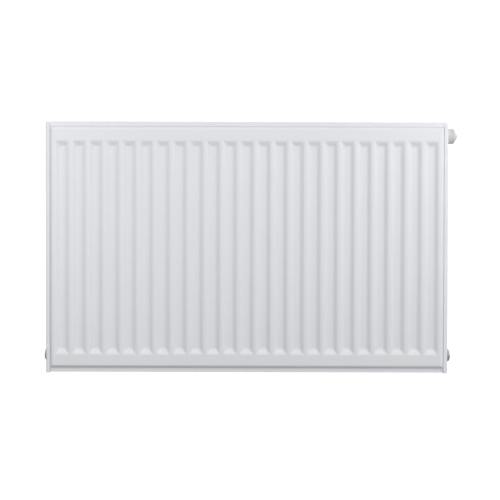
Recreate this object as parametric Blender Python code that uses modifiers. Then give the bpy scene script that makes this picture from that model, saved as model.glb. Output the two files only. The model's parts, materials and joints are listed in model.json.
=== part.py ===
"""Panel radiator with a built-in valve, 800 mm long, 500 mm high and 102 mm deep.

Two pressed steel water panels stand in front of each other with a folded convector on the
inside of each. Short tubes join their corners. The top right tube is a valve housing, fed by a
riser from the connection block at the bottom right. A grille and two side covers close the body.

Metres, +Z up. The front faces -Y, and +X is on the right as the front is looked at. The origin
is on the wall-bracket plane, at mid-width and at the height of the bottom edge.
"""

import math

import bmesh
import bpy
from mathutils import Matrix, Vector

# Body
WIDTH = 0.800
HEIGHT = 0.500
BODY_DEPTH = 0.102
LUG_STANDOFF = 0.009
REAR_Y = -LUG_STANDOFF
FRONT_Y = REAR_Y - BODY_DEPTH
MID_Y = (FRONT_Y + REAR_Y) / 2
GAP = 0.0003

# Pressed sheets
SHEET = 0.0012
PRESS_DEPTH = 0.006
FLANGE = 0.0035
BOTTOM_FLANGE = 0.008
ROLL_RUN = 0.0055
SHEET_HALF_WIDTH = WIDTH / 2 - 0.0035
SHEET_TOP = HEIGHT - 0.0045
SHEET_BOTTOM = 0.0012
COLUMNS = 24
PITCH = WIDTH / COLUMNS
RIB_FLAT = 0.008
WALL_RUN = 0.0068
END_RAMP = 0.009
OUTER_POCKETS = (0.0385, 0.461)
INNER_POCKETS = (0.048, 0.452)
SEAM_DEPTH = PRESS_DEPTH + 2 * SHEET + GAP
HALF_ROOM = BODY_DEPTH / 2 - SEAM_DEPTH - PRESS_DEPTH

# Convectors
FIN_SHEET = 0.0005
FIN_REACH = 0.033
FIN_NEAR_FLAT = 0.008
FIN_FAR_FLAT = 0.012
FIN_Z = (0.050, 0.450)
FINS = 19

# Pipework
HUB_LOW = 0.0285
HUB_HIGH = HUB_LOW + 0.446
TEE_X = WIDTH / 2 - 0.033
TEE_FACE_X = WIDTH / 2 - 0.009
TEE_RADIUS = 0.013
BOSS_RADIUS = 0.0145
PORT_RADIUS = 0.008
BORE_OVERRUN = 0.010
SOCKET_RADIUS = 0.0105
SOCKET_DEPTH = 0.017
STUB_SPACING = 0.050
SUPPLY_X = TEE_X - STUB_SPACING
STUB_FACE_Z = 0.008
STUB_RADIUS = 0.0132
BRIDGE_RADIUS = 0.0091
RETURN_RADIUS = 0.0076
RISER_RADIUS = 0.008
RISER_WALL = 0.0012
RISER_SOCKET_DEPTH = 0.010
RISER_SLEEVE_RADIUS = RISER_RADIUS + 0.0025
RISER_SLEEVE_DROP = 0.006
HOUSING_END_X = SUPPLY_X - 0.014
INLET_RADIUS = 0.0088
SEAT_X = 0.352
SEAT_RADIUS = 0.005
SEAT_LAND = 0.005
CUT_OVERLAP = 0.001

# Covers
COVER_SHEET = 0.0008
COVER_RETURN = 0.008
COVER_SETBACK = 0.0035
COVER_BEND = 0.0035
CAP_HOLE_RADIUS = 0.018
PLUG_HOLE_RADIUS = 0.015
LIP = 0.0093
SLOT_PITCH = 0.0125
SLOT_WIDTH = 0.007
SLOT_LENGTH = 0.036
SLOT_ROW_OFFSET = 0.022
SLOT_COLUMNS = 60

# Hanging lugs
LUG_SHEET = 0.0025
LUG_HEIGHT = 0.030
LUG_FOOT = 0.009
LUG_X = 7 * PITCH
LUG_Z = (0.075, 0.415)

# Clips
CLIP_SHEET = 0.0006
CLIP_ARM = 0.003
CLIP_LENGTH = 0.018
COVER_CLIP_Z = {"bottom": 0.120, "top": 0.380}
GRILLE_CLIP_X = {"left": -0.250, "right": 0.250}

# Seals and threads, measured along X from the middle of the body
THREAD_RADIUS = SOCKET_RADIUS - GAP
THREAD_START_X = TEE_FACE_X - SOCKET_DEPTH + 4 * GAP
RING_SEAL = 0.0010
SEAL_RADIUS = 0.0118
SEAL_X = TEE_FACE_X + GAP + RING_SEAL
HEAD_X = TEE_FACE_X + 2 * RING_SEAL + 2 * GAP

# Valve
COLLAR_LENGTH = 0.0046
COLLAR_HEX_RADIUS = 0.0150
BARREL_END_X = 0.412
BARREL_RADIUS = 0.0140
SPRING_CHAMBER_RADIUS = 0.0046
SPRING_CHAMBER_X = 0.395
SPRING_WIRE = 0.0004
SPRING_TURNS = 5
POINTS_PER_TURN = 10
GLAND_RADIUS = 0.0058
GLAND_SHANK = 0.0022
GLAND_END_X = BARREL_END_X + 0.0038
DIAL_RADII = (0.0066, 0.0110)
DIAL_END_X = BARREL_END_X + 0.0033
PIN_RADIUS = 0.00125
PIN_END_X = 0.419
PIN_COLLAR_RADIUS = 0.0042
PIN_COLLAR_X = 0.4052
PIN_COLLAR_LENGTH = 0.0014
DISC_RADIUS = 0.0068
DISC_BACK_RADIUS = 0.0062
DISC_THICKNESS = 0.0035

# Valve cap
CAP_RADIUS = 0.0151
CAP_START_X = 0.399
CAP_SHOULDER_X = 0.4185
CAP_END_X = 0.4255
CAP_TIP_RADIUS = 0.0042
CAP_TIP_BEVEL = (0.0012, 0.0020)
CAP_SEAT_X = PIN_END_X - 0.0018
CAP_SOCKET_RADIUS = 0.0030

# Blanking plugs
PLUG_RADIUS = 0.0128
PLUG_END_X = 0.412
PLUG_DOME = 0.0040
DOME_STEPS = 5
HEX_RADIUS = 0.0058
HEX_DEPTH = 0.006

# Air vent
VENT_FLANGE_LENGTH = 0.0034
HUB_RADIUS = 0.0070
HUB_LIP_RADIUS = 0.0080
HUB_LIP_X = 0.4026
HUB_END_X = 0.4036
OUTLET_RADIUS = 0.0112
SPOUT_RADIUS = 0.0021
SPOUT_BORE_RADIUS = 0.0011
SPOUT_REACH = (0.0092, 0.0160)
BLEED_RADIUS = 0.0027
BLEED_TIP_RADIUS = 0.0010
BLEED_X = (0.3790, 0.3850, 0.4072)
BLEED_SLOT = (0.0030, 0.0012, 0.0100)

ROUND = 24
SMALL_ROUND = 16
CAP_STEPS = 36
SEAL_SIDES = 6
COVER_BEND_STEPS = 3
SHARP_ANGLE = math.radians(32)

WHITE_COAT = ("white_powder_coat", (0.90, 0.91, 0.93), 0.35, 0.0)
NICKEL = ("nickel_plated_brass", (0.70, 0.68, 0.64), 0.25, 1.0)
BRASS = ("brass", (0.78, 0.62, 0.34), 0.30, 1.0)
SPRING_STEEL = ("spring_steel", (0.55, 0.55, 0.56), 0.35, 1.0)
BLACK_RUBBER = ("black_rubber", (0.03, 0.03, 0.03), 0.80, 0.0)
GREY_PLASTIC = ("grey_plastic", (0.80, 0.80, 0.80), 0.45, 0.0)
WHITE_PLASTIC = ("white_plastic", (0.88, 0.88, 0.87), 0.45, 0.0)


def clear_scene():
    for old in list(bpy.data.objects):
        bpy.data.objects.remove(old, do_unlink=True)


def new_collection(name, hidden=False):
    made = bpy.data.collections.new(name)
    bpy.context.scene.collection.children.link(made)
    made.hide_render = hidden
    return made


def material(finish):
    name, colour, roughness, metallic = finish
    if name in bpy.data.materials:
        return bpy.data.materials[name]
    made = bpy.data.materials.new(name)
    made.use_nodes = True
    shader = made.node_tree.nodes["Principled BSDF"]
    shader.inputs["Base Color"].default_value = (*colour, 1.0)
    shader.inputs["Roughness"].default_value = roughness
    shader.inputs["Metallic"].default_value = metallic
    made.diffuse_color = (*colour, 1.0)
    return made


def add_object(name, shape, finish, smooth=False):
    """Makes the bmesh an object of the radiator's collection."""
    mesh = bpy.data.meshes.new(name)
    shape.to_mesh(mesh)
    shape.free()
    if smooth:
        mesh.shade_smooth()
        mesh.set_sharp_from_angle(angle=SHARP_ANGLE)
    made = bpy.data.objects.new(name, mesh)
    mesh.materials.append(material(finish))
    parts.objects.link(made)
    return made


def to_cutters(tool):
    """Moves a Boolean operand to the hidden collection."""
    parts.objects.unlink(tool)
    cutters.objects.link(tool)
    tool.hide_render = True
    tool.display_type = "WIRE"
    return tool


def boolean(target, tool, operation):
    made = target.modifiers.new(operation.lower(), "BOOLEAN")
    made.operation = operation
    made.solver = "EXACT"
    made.object = to_cutters(tool)


def thicken(target, thickness, offset=-1.0):
    made = target.modifiers.new("thickness", "SOLIDIFY")
    made.thickness = thickness
    made.offset = offset
    made.use_even_offset = True
    made.use_quality_normals = True


def rod(name, start, end, radius, finish=NICKEL, sides=ROUND):
    """A cylinder, or a prism with few sides, between two points."""
    start, end = Vector(start), Vector(end)
    along = end - start
    turn = along.to_track_quat("Z", "Y").to_matrix().to_4x4()
    shape = bmesh.new()
    bmesh.ops.create_cone(
        shape,
        cap_ends=True,
        segments=sides,
        radius1=radius,
        radius2=radius,
        depth=along.length,
        matrix=Matrix.Translation((start + end) / 2) @ turn,
    )
    return add_object(name, shape, finish, smooth=sides > 8)


def drilled(name, solids, bores, finish):
    """Joined rods with rods cut out of them. Each is (start, end, radius)."""
    body = rod(name, *solids[0], finish)
    for index, solid in enumerate(solids[1:]):
        boolean(body, rod(f"{name}_arm_{index}", *solid), "UNION")
    for index, bore in enumerate(bores):
        boolean(body, rod(f"{name}_bore_{index}", *bore), "DIFFERENCE")
    return body


def turned(name, profile, centre, finish, side=1, steps=ROUND):
    """Turns a profile of (distance along X, radius) about the X line through centre.

    The profile runs from the outer end inwards. It is closed on itself when no end is on the
    axis. side is -1 for the pieces on the left, whose outer end points to -X.
    """
    shape = bmesh.new()
    points = [shape.verts.new((radius, 0, along)) for along, radius in profile]
    for first, second in zip(points, points[1:]):
        shape.edges.new((first, second))
    if profile[0][1] > 0:
        shape.edges.new((points[-1], points[0]))
    made = add_object(name, shape, finish)
    screw = made.modifiers.new("turn", "SCREW")
    screw.axis = "Z"
    screw.steps = steps
    screw.render_steps = steps
    screw.use_merge_vertices = True
    screw.merge_threshold = 0.00001
    screw.use_smooth_shade = True
    made.rotation_euler = (0, side * math.pi / 2, 0)
    made.location = centre
    return made


def ring(name, centre, radius, wire, finish):
    """An O-ring about an X line."""
    profile = [
        (wire * math.sin(angle), radius + wire * math.cos(angle))
        for angle in (-math.tau * step / SEAL_SIDES for step in range(SEAL_SIDES))
    ]
    return turned(name, profile, centre, finish, steps=SMALL_ROUND)


def folded_strip(name, outline, length, thickness, finish, offset=0.0):
    """A strip bent along an outline of points and pulled out along a vector."""
    shape = bmesh.new()
    points = [shape.verts.new(point) for point in outline]
    folds = [shape.edges.new(pair) for pair in zip(points, points[1:])]
    pulled = bmesh.ops.extrude_edge_only(shape, edges=folds)["geom"]
    moved = [item for item in pulled if isinstance(item, bmesh.types.BMVert)]
    bmesh.ops.translate(shape, verts=moved, vec=length)
    made = add_object(name, shape, finish)
    thicken(made, thickness, offset)
    return made


def cut_lines(shape, faces, axis, places):
    """Splits the faces along planes square to the axis at the given places."""
    normal = Vector([float(index == axis) for index in range(3)])
    for place in places:
        live = [face for face in faces if face.is_valid]
        around = {edge for face in live for edge in face.edges}
        corners = {vert for face in live for vert in face.verts}
        cut = bmesh.ops.bisect_plane(
            shape, geom=live + list(around) + list(corners), plane_co=normal * place, plane_no=normal
        )
        faces = [item for item in cut["geom"] if isinstance(item, bmesh.types.BMFace)]
    return faces


def flat_rectangle(shape, low, high):
    """One face in the XZ plane that faces -Y."""
    centre = (Vector(low) + Vector(high)) / 2
    size = Vector(high) - Vector(low)
    turn = Matrix.Rotation(math.pi / 2, 4, "X")
    scale = Matrix.Diagonal((size.x, size.y, 1, 1))
    place = Matrix.Translation((centre.x, 0, centre.y)) @ turn @ scale
    bmesh.ops.create_grid(shape, x_segments=1, y_segments=1, size=0.5, matrix=place)
    return shape.faces[:]


# Water panels


def pocket_edges():
    half = (PITCH - RIB_FLAT) / 2
    centres = [(index + 1) * PITCH - WIDTH / 2 for index in range(COLUMNS - 1)]
    return [(centre - half, centre + half) for centre in centres]


def pressed_sheet(name, flange_y, turned_round, pockets):
    """One pressed sheet: a flange, a rolled edge, a flat face and a pocket between channels."""
    low, high = pockets
    widening = BOTTOM_FLANGE - FLANGE
    shape = bmesh.new()
    face = flat_rectangle(
        shape, (-SHEET_HALF_WIDTH, SHEET_BOTTOM + widening), (SHEET_HALF_WIDTH, SHEET_TOP)
    )
    bmesh.ops.inset_region(
        shape, faces=face, thickness=FLANGE, use_boundary=True, use_even_offset=True
    )
    foot = [vert for vert in shape.verts if vert.is_boundary and vert.co.z < HEIGHT / 2]
    bmesh.ops.translate(shape, verts=foot, vec=(0, 0, -widening))
    bmesh.ops.inset_region(
        shape, faces=face, thickness=ROLL_RUN, depth=PRESS_DEPTH, use_even_offset=True
    )
    edges = pocket_edges()
    cells = cut_lines(shape, face, 2, (low, high))
    cells = cut_lines(shape, cells, 0, [place for pair in edges for place in pair])
    floors = [
        cell
        for cell in cells
        if low < cell.calc_center_median().z < high
        and any(left < cell.calc_center_median().x < right for left, right in edges)
    ]
    bmesh.ops.inset_individual(
        shape, faces=floors, thickness=WALL_RUN, depth=-PRESS_DEPTH, use_even_offset=True
    )
    middle = (low + high) / 2
    for corner in {vert for floor in floors for vert in floor.verts}:
        corner.co.z += math.copysign(END_RAMP - WALL_RUN, middle - corner.co.z)
    bmesh.ops.dissolve_limit(
        shape, angle_limit=math.radians(1), verts=shape.verts[:], edges=shape.edges[:]
    )
    made = add_object(name, shape, WHITE_COAT)
    thicken(made, SHEET)
    made.location.y = flange_y
    made.rotation_euler.z = math.pi if turned_round else 0
    return made


def cut_ports(sheet):
    """Opens an inner sheet where the four corner tubes meet it."""
    reach = Vector((0, BORE_OVERRUN, 0))
    for index, (x, z) in enumerate(
        (side * TEE_X, height) for side in (-1, 1) for height in (HUB_LOW, HUB_HIGH)
    ):
        centre = Vector((x, sheet.location.y, z))
        bore = rod(f"{sheet.name}_port_{index}", centre - reach, centre + reach, PORT_RADIUS)
        boolean(sheet, bore, "DIFFERENCE")


def water_panels():
    pressed_sheet("front_panel_outer_sheet", FRONT_Y + PRESS_DEPTH, False, OUTER_POCKETS)
    pressed_sheet("rear_panel_outer_sheet", REAR_Y - PRESS_DEPTH, True, OUTER_POCKETS)
    cut_ports(pressed_sheet("front_panel_inner_sheet", FRONT_Y + SEAM_DEPTH, True, INNER_POCKETS))
    cut_ports(pressed_sheet("rear_panel_inner_sheet", REAR_Y - SEAM_DEPTH, False, INNER_POCKETS))


# Convectors


def convector(name, inside):
    """A folded sheet on the inner face of a water panel. inside is -1 in front and 1 behind."""
    near = MID_Y + inside * (HALF_ROOM - GAP - FIN_SHEET / 2)
    far = near - inside * (FIN_REACH - FIN_SHEET)
    outline = []
    for fin in range(FINS):
        centre = (fin + 1.5) * PITCH - WIDTH / 2
        outline += [(centre - FIN_NEAR_FLAT / 2, near), (centre + FIN_NEAR_FLAT / 2, near)]
        if fin < FINS - 1:
            valley = centre + PITCH / 2
            outline += [(valley - FIN_FAR_FLAT / 2, far), (valley + FIN_FAR_FLAT / 2, far)]
    points = [(x, y, FIN_Z[0]) for x, y in outline]
    folded_strip(name, points, (0, 0, FIN_Z[1] - FIN_Z[0]), FIN_SHEET, WHITE_COAT)


# Pipework


def cross_tube(x, z):
    """The tube between the two water panels, and the bore right through it."""
    reach = HALF_ROOM - GAP
    past = reach + BORE_OVERRUN
    tube = ((x, MID_Y - reach, z), (x, MID_Y + reach, z), TEE_RADIUS)
    bore = ((x, MID_Y - past, z), (x, MID_Y + past, z), PORT_RADIUS)
    return tube, bore


def corner_tee(name, side, z):
    tube, bore = cross_tube(side * TEE_X, z)
    middle, face, inside, beyond = (
        (side * x, MID_Y, z)
        for x in (TEE_X, TEE_FACE_X, TEE_FACE_X - SOCKET_DEPTH, TEE_FACE_X + BORE_OVERRUN)
    )
    solids = [tube, (middle, face, BOSS_RADIUS)]
    drilled(name, solids, [bore, (inside, beyond, SOCKET_RADIUS)], WHITE_COAT)


def connection_block():
    """The bottom right tee with the two downward connections."""
    tube, bore = cross_tube(TEE_X, HUB_LOW)
    socket_top = HUB_LOW + BOSS_RADIUS
    below, above = STUB_FACE_Z - BORE_OVERRUN, socket_top + BORE_OVERRUN

    def at(x, z=HUB_LOW):
        return (x, MID_Y, z)

    drilled(
        "connection_block",
        [
            tube,
            (at(TEE_X), at(TEE_FACE_X), BOSS_RADIUS),
            (at(TEE_X, STUB_FACE_Z), at(TEE_X), STUB_RADIUS),
            (at(SUPPLY_X), at(TEE_X), BRIDGE_RADIUS),
            (at(SUPPLY_X, STUB_FACE_Z), at(SUPPLY_X, socket_top), STUB_RADIUS),
        ],
        [
            bore,
            (at(TEE_FACE_X - SOCKET_DEPTH), at(TEE_FACE_X + BORE_OVERRUN), SOCKET_RADIUS),
            (at(TEE_X, below), at(TEE_X), RETURN_RADIUS),
            (at(SUPPLY_X, below), at(SUPPLY_X, above), RISER_RADIUS - RISER_WALL),
            (
                at(SUPPLY_X, socket_top - RISER_SOCKET_DEPTH),
                at(SUPPLY_X, above),
                RISER_RADIUS + GAP,
            ),
        ],
        WHITE_COAT,
    )


def valve_housing():
    """The top right tee, drawn out to the left as far as the riser, with the valve seat in it."""
    tube, bore = cross_tube(TEE_X, HUB_HIGH)
    sleeve_low = HUB_HIGH - BOSS_RADIUS - RISER_SLEEVE_DROP
    below = sleeve_low - BORE_OVERRUN

    def at(x, z=HUB_HIGH):
        return (x, MID_Y, z)

    drilled(
        "valve_housing",
        [
            (at(HOUSING_END_X), at(TEE_FACE_X), BOSS_RADIUS),
            tube,
            (at(SUPPLY_X, sleeve_low), at(SUPPLY_X), RISER_SLEEVE_RADIUS),
        ],
        [
            bore,
            (at(SEAT_X), at(TEE_FACE_X + BORE_OVERRUN), SOCKET_RADIUS),
            (at(SUPPLY_X), at(SEAT_X - SEAT_LAND), INLET_RADIUS),
            (at(SUPPLY_X + CUT_OVERLAP), at(SEAT_X + CUT_OVERLAP), SEAT_RADIUS),
            (
                at(SUPPLY_X, below),
                at(SUPPLY_X, sleeve_low + RISER_SOCKET_DEPTH),
                RISER_RADIUS + GAP,
            ),
            (
                at(SUPPLY_X, below),
                at(SUPPLY_X, HUB_HIGH + CUT_OVERLAP),
                RISER_RADIUS - RISER_WALL,
            ),
        ],
        WHITE_COAT,
    )


def riser_pipe():
    low = HUB_LOW + BOSS_RADIUS - RISER_SOCKET_DEPTH + GAP
    high = HUB_HIGH - BOSS_RADIUS - RISER_SLEEVE_DROP + RISER_SOCKET_DEPTH - GAP
    ends = ((SUPPLY_X, MID_Y, low), (SUPPLY_X, MID_Y, high))
    past_ends = ((SUPPLY_X, MID_Y, low - BORE_OVERRUN), (SUPPLY_X, MID_Y, high + BORE_OVERRUN))
    bore = RISER_RADIUS - RISER_WALL
    drilled("riser_pipe", [(*ends, RISER_RADIUS)], [(*past_ends, bore)], WHITE_COAT)


# Covers


def top_grille():
    """A slotted plate with a lip in front and behind."""
    half_length = WIDTH / 2 - COVER_RETURN - GAP
    front, rear = FRONT_Y + COVER_SETBACK, REAR_Y - COVER_SETBACK
    shape = bmesh.new()
    plate = flat_rectangle(shape, (-half_length, front), (half_length, rear))
    lay_flat = Matrix.Rotation(-math.pi / 2, 4, "X")
    bmesh.ops.transform(shape, matrix=lay_flat, verts=shape.verts[:])
    bmesh.ops.translate(shape, verts=shape.verts[:], vec=(0, 0, HEIGHT))
    columns = [
        (index - (SLOT_COLUMNS - 1) / 2) * SLOT_PITCH for index in range(SLOT_COLUMNS)
    ]
    rows = [MID_Y - SLOT_ROW_OFFSET, MID_Y + SLOT_ROW_OFFSET]
    column_edges = [x + side * SLOT_WIDTH / 2 for x in columns for side in (-1, 1)]
    row_edges = [y + side * SLOT_LENGTH / 2 for y in rows for side in (-1, 1)]
    cells = cut_lines(shape, plate, 1, row_edges)
    cells = cut_lines(shape, cells, 0, column_edges)

    def in_slot(cell):
        centre = cell.calc_center_median()
        in_column = any(abs(centre.x - x) < SLOT_WIDTH / 2 for x in columns)
        return in_column and any(abs(centre.y - y) < SLOT_LENGTH / 2 for y in rows)

    slots = [cell for cell in cells if in_slot(cell)]
    bmesh.ops.delete(shape, geom=slots, context="FACES")
    bmesh.ops.dissolve_limit(
        shape, angle_limit=math.radians(1), verts=shape.verts[:], edges=shape.edges[:]
    )
    borders = [
        edge
        for edge in shape.edges
        if all(abs(vert.co.y - front) < GAP for vert in edge.verts)
        or all(abs(vert.co.y - rear) < GAP for vert in edge.verts)
    ]
    pulled = bmesh.ops.extrude_edge_only(shape, edges=borders)["geom"]
    lips = [item for item in pulled if isinstance(item, bmesh.types.BMVert)]
    bmesh.ops.translate(shape, verts=lips, vec=(0, 0, -LIP))
    bmesh.ops.recalc_face_normals(shape, faces=shape.faces[:])
    if max(shape.faces, key=lambda face: face.calc_area()).normal.z < 0:
        bmesh.ops.reverse_faces(shape, faces=shape.faces[:])
    made = add_object("top_grille", shape, WHITE_COAT)
    thicken(made, COVER_SHEET)


def side_cover(name, side):
    """A shallow pressed tray over one end of the body, with a hole for each fitting.

    Its bends are round except along the bottom, where its corners are square.
    """
    depth = BODY_DEPTH - 2 * COVER_SETBACK
    shape = bmesh.new()
    centre_x = side * (WIDTH / 2 - COVER_RETURN / 2)
    place = Matrix.Translation((centre_x, MID_Y, HEIGHT / 2))
    size = Matrix.Diagonal((COVER_RETURN, depth, HEIGHT, 1))
    bmesh.ops.create_cube(shape, size=1, matrix=place @ size)
    open_face = [face for face in shape.faces if face.normal.x * side < -0.5]
    bmesh.ops.delete(shape, geom=open_face, context="FACES")
    bends = [
        edge
        for edge in shape.edges
        if not edge.is_boundary and any(vert.co.z > GAP for vert in edge.verts)
    ]
    bmesh.ops.bevel(
        shape,
        geom=bends,
        offset=COVER_BEND,
        affect="EDGES",
        segments=COVER_BEND_STEPS,
        profile=0.5,
        material=-1,
    )
    made = add_object(name, shape, WHITE_COAT, smooth=True)
    thicken(made, COVER_SHEET)
    for label, height, radius in (
        ("top", HUB_HIGH, CAP_HOLE_RADIUS),
        ("bottom", HUB_LOW, PLUG_HOLE_RADIUS),
    ):
        inner = (side * (WIDTH / 2 - COVER_RETURN), MID_Y, height)
        outer = (side * (WIDTH / 2 + COVER_RETURN), MID_Y, height)
        boolean(made, rod(f"{name}_{label}_hole", inner, outer, radius), "DIFFERENCE")


# Fixings


def hanging_lug(name, x, z):
    """A strap whose feet are welded to two channels and whose bridge stands off for a hook."""
    foot_y = REAR_Y + GAP + LUG_SHEET / 2
    bridge_y = -LUG_SHEET / 2
    leg = (PITCH - LUG_FOOT) / 2
    outline = [
        (-PITCH / 2 - LUG_FOOT / 2, foot_y),
        (-leg, foot_y),
        (-leg, bridge_y),
        (leg, bridge_y),
        (leg, foot_y),
        (PITCH / 2 + LUG_FOOT / 2, foot_y),
    ]
    points = [(x + across, y, z - LUG_HEIGHT / 2) for across, y in outline]
    folded_strip(name, points, (0, 0, LUG_HEIGHT), LUG_SHEET, WHITE_COAT)


def clip_outline(seam_y):
    """Across the seam and along it: the two arms and the base of a clip over a panel's flange."""
    half = SHEET + GAP / 2 + GAP + CLIP_SHEET / 2
    base = GAP + CLIP_SHEET / 2
    return [
        (seam_y - half, -CLIP_ARM),
        (seam_y - half, base),
        (seam_y + half, base),
        (seam_y + half, -CLIP_ARM),
    ]


def flange_clips():
    seam = PRESS_DEPTH + SHEET + GAP / 2
    seams = {"front": FRONT_Y + seam, "rear": REAR_Y - seam}
    for place, seam_y in seams.items():
        outline = clip_outline(seam_y)
        for level, z in COVER_CLIP_Z.items():
            for hand, side in (("left", -1), ("right", 1)):
                points = [
                    (side * (SHEET_HALF_WIDTH + out), y, z - CLIP_LENGTH / 2) for y, out in outline
                ]
                name = f"cover_clip_{place}_{level}_{hand}"
                folded_strip(name, points, (0, 0, CLIP_LENGTH), CLIP_SHEET, SPRING_STEEL)
        for hand, x in GRILLE_CLIP_X.items():
            points = [(x - CLIP_LENGTH / 2, y, SHEET_TOP + up) for y, up in outline]
            name = f"grille_clip_{place}_{hand}"
            folded_strip(name, points, (CLIP_LENGTH, 0, 0), CLIP_SHEET, SPRING_STEEL)


# Valve at the top right


def valve_insert():
    axis = (0, MID_Y, HUB_HIGH)
    body = turned(
        "valve_insert_body",
        [
            (BARREL_END_X, SPRING_CHAMBER_RADIUS),
            (BARREL_END_X, BARREL_RADIUS),
            (HEAD_X, BARREL_RADIUS),
            (HEAD_X, THREAD_RADIUS),
            (THREAD_START_X, THREAD_RADIUS),
            (THREAD_START_X, PIN_RADIUS + GAP),
            (SPRING_CHAMBER_X, PIN_RADIUS + GAP),
            (SPRING_CHAMBER_X, SPRING_CHAMBER_RADIUS),
        ],
        axis,
        NICKEL,
    )
    start, end = HEAD_X + GAP, HEAD_X + COLLAR_LENGTH
    hexagon = rod(
        "valve_hexagon",
        (start, MID_Y, HUB_HIGH),
        (end, MID_Y, HUB_HIGH),
        COLLAR_HEX_RADIUS,
        sides=6,
    )
    core = rod(
        "valve_hexagon_core",
        (start - CUT_OVERLAP, MID_Y, HUB_HIGH),
        (end + CUT_OVERLAP, MID_Y, HUB_HIGH),
        BARREL_RADIUS - CUT_OVERLAP,
    )
    boolean(hexagon, core, "DIFFERENCE")
    boolean(body, hexagon, "UNION")
    ring("valve_o_ring", (SEAL_X, MID_Y, HUB_HIGH), SEAL_RADIUS, RING_SEAL, BLACK_RUBBER)


def gland_and_dial():
    axis = (0, MID_Y, HUB_HIGH)
    shank = SPRING_CHAMBER_RADIUS - GAP
    turned(
        "valve_gland_nut",
        [
            (GLAND_END_X, PIN_RADIUS + GAP),
            (GLAND_END_X, GLAND_RADIUS),
            (BARREL_END_X + GAP, GLAND_RADIUS),
            (BARREL_END_X + GAP, shank),
            (BARREL_END_X - GLAND_SHANK, shank),
            (BARREL_END_X - GLAND_SHANK, PIN_RADIUS + GAP),
        ],
        axis,
        NICKEL,
        steps=6,
    )
    inner, outer = DIAL_RADII
    turned(
        "presetting_ring",
        [
            (DIAL_END_X, inner),
            (DIAL_END_X, outer),
            (BARREL_END_X + GAP, outer),
            (BARREL_END_X + GAP, inner),
        ],
        axis,
        GREY_PLASTIC,
    )


def pin_and_disc():
    axis = (0, MID_Y, HUB_HIGH)
    disc_face = SEAT_X + GAP
    disc_back = disc_face + DISC_THICKNESS
    collar_end = PIN_COLLAR_X + PIN_COLLAR_LENGTH
    turned(
        "valve_pin",
        [
            (PIN_END_X, 0),
            (PIN_END_X, PIN_RADIUS),
            (collar_end, PIN_RADIUS),
            (collar_end, PIN_COLLAR_RADIUS),
            (PIN_COLLAR_X, PIN_COLLAR_RADIUS),
            (PIN_COLLAR_X, PIN_RADIUS),
            (disc_back + GAP, PIN_RADIUS),
            (disc_back + GAP, 0),
        ],
        axis,
        NICKEL,
        steps=SMALL_ROUND,
    )
    turned(
        "valve_disc",
        [(disc_back, 0), (disc_back, DISC_BACK_RADIUS), (disc_face, DISC_RADIUS), (disc_face, 0)],
        axis,
        BLACK_RUBBER,
    )
    valve_spring(SPRING_CHAMBER_X + GAP, PIN_COLLAR_X - GAP)


def valve_spring(start_x, end_x):
    """A coil round the pin that pushes its collar outwards."""
    radius = (PIN_COLLAR_RADIUS + PIN_RADIUS) / 2 + SPRING_WIRE / 2
    count = SPRING_TURNS * POINTS_PER_TURN
    length = end_x - start_x - 2 * SPRING_WIRE - 2 * GAP
    curve = bpy.data.curves.new("valve_spring", "CURVE")
    curve.dimensions = "3D"
    curve.bevel_depth = SPRING_WIRE
    curve.bevel_resolution = 0
    curve.use_fill_caps = True
    coil = curve.splines.new("POLY")
    coil.points.add(count)
    for step, point in enumerate(coil.points):
        angle = math.tau * step / POINTS_PER_TURN
        x = start_x + GAP + SPRING_WIRE + length * step / count
        y = MID_Y + radius * math.cos(angle)
        z = HUB_HIGH + radius * math.sin(angle)
        point.co = (x, y, z, 1)
    made = bpy.data.objects.new("valve_spring", curve)
    curve.materials.append(material(SPRING_STEEL))
    parts.objects.link(made)


def valve_cap():
    """The screw cap that guards the valve's thread and shuts it when it is screwed home."""
    inner = BARREL_RADIUS + GAP
    pusher = PIN_END_X + GAP
    bevel_length, bevel_height = CAP_TIP_BEVEL
    turned(
        "valve_cap",
        [
            (CAP_END_X, 0),
            (CAP_END_X, CAP_TIP_RADIUS),
            (CAP_END_X - bevel_length, CAP_TIP_RADIUS + bevel_height),
            (CAP_SHOULDER_X, CAP_RADIUS),
            (CAP_START_X, CAP_RADIUS),
            (CAP_START_X, inner),
            (CAP_SEAT_X, inner),
            (CAP_SEAT_X, CAP_SOCKET_RADIUS),
            (pusher, CAP_SOCKET_RADIUS),
            (pusher, 0),
        ],
        (0, MID_Y, HUB_HIGH),
        GREY_PLASTIC,
        steps=CAP_STEPS,
    )


# Plugs


def blanking_plug(name, side):
    """A threaded plug with a round domed head and a hexagon socket."""
    arc = [
        (
            PLUG_END_X - PLUG_DOME + PLUG_DOME * math.cos(math.pi / 2 * step / DOME_STEPS),
            PLUG_RADIUS - PLUG_DOME + PLUG_DOME * math.sin(math.pi / 2 * step / DOME_STEPS),
        )
        for step in range(DOME_STEPS + 1)
    ]
    made = turned(
        f"blanking_plug_{name}",
        [(PLUG_END_X, 0)]
        + arc
        + [
            (HEAD_X, PLUG_RADIUS),
            (HEAD_X, THREAD_RADIUS),
            (THREAD_START_X, THREAD_RADIUS),
            (THREAD_START_X, 0),
        ],
        (0, MID_Y, HUB_LOW),
        NICKEL,
        side,
    )
    socket = rod(
        f"blanking_plug_{name}_socket",
        (side * (PLUG_END_X - HEX_DEPTH), MID_Y, HUB_LOW),
        (side * (PLUG_END_X + HEX_DEPTH), MID_Y, HUB_LOW),
        HEX_RADIUS,
        sides=6,
    )
    boolean(made, socket, "DIFFERENCE")
    seal = (side * SEAL_X, MID_Y, HUB_LOW)
    ring(f"plug_o_ring_{name}", seal, SEAL_RADIUS, RING_SEAL, BLACK_RUBBER)


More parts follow.
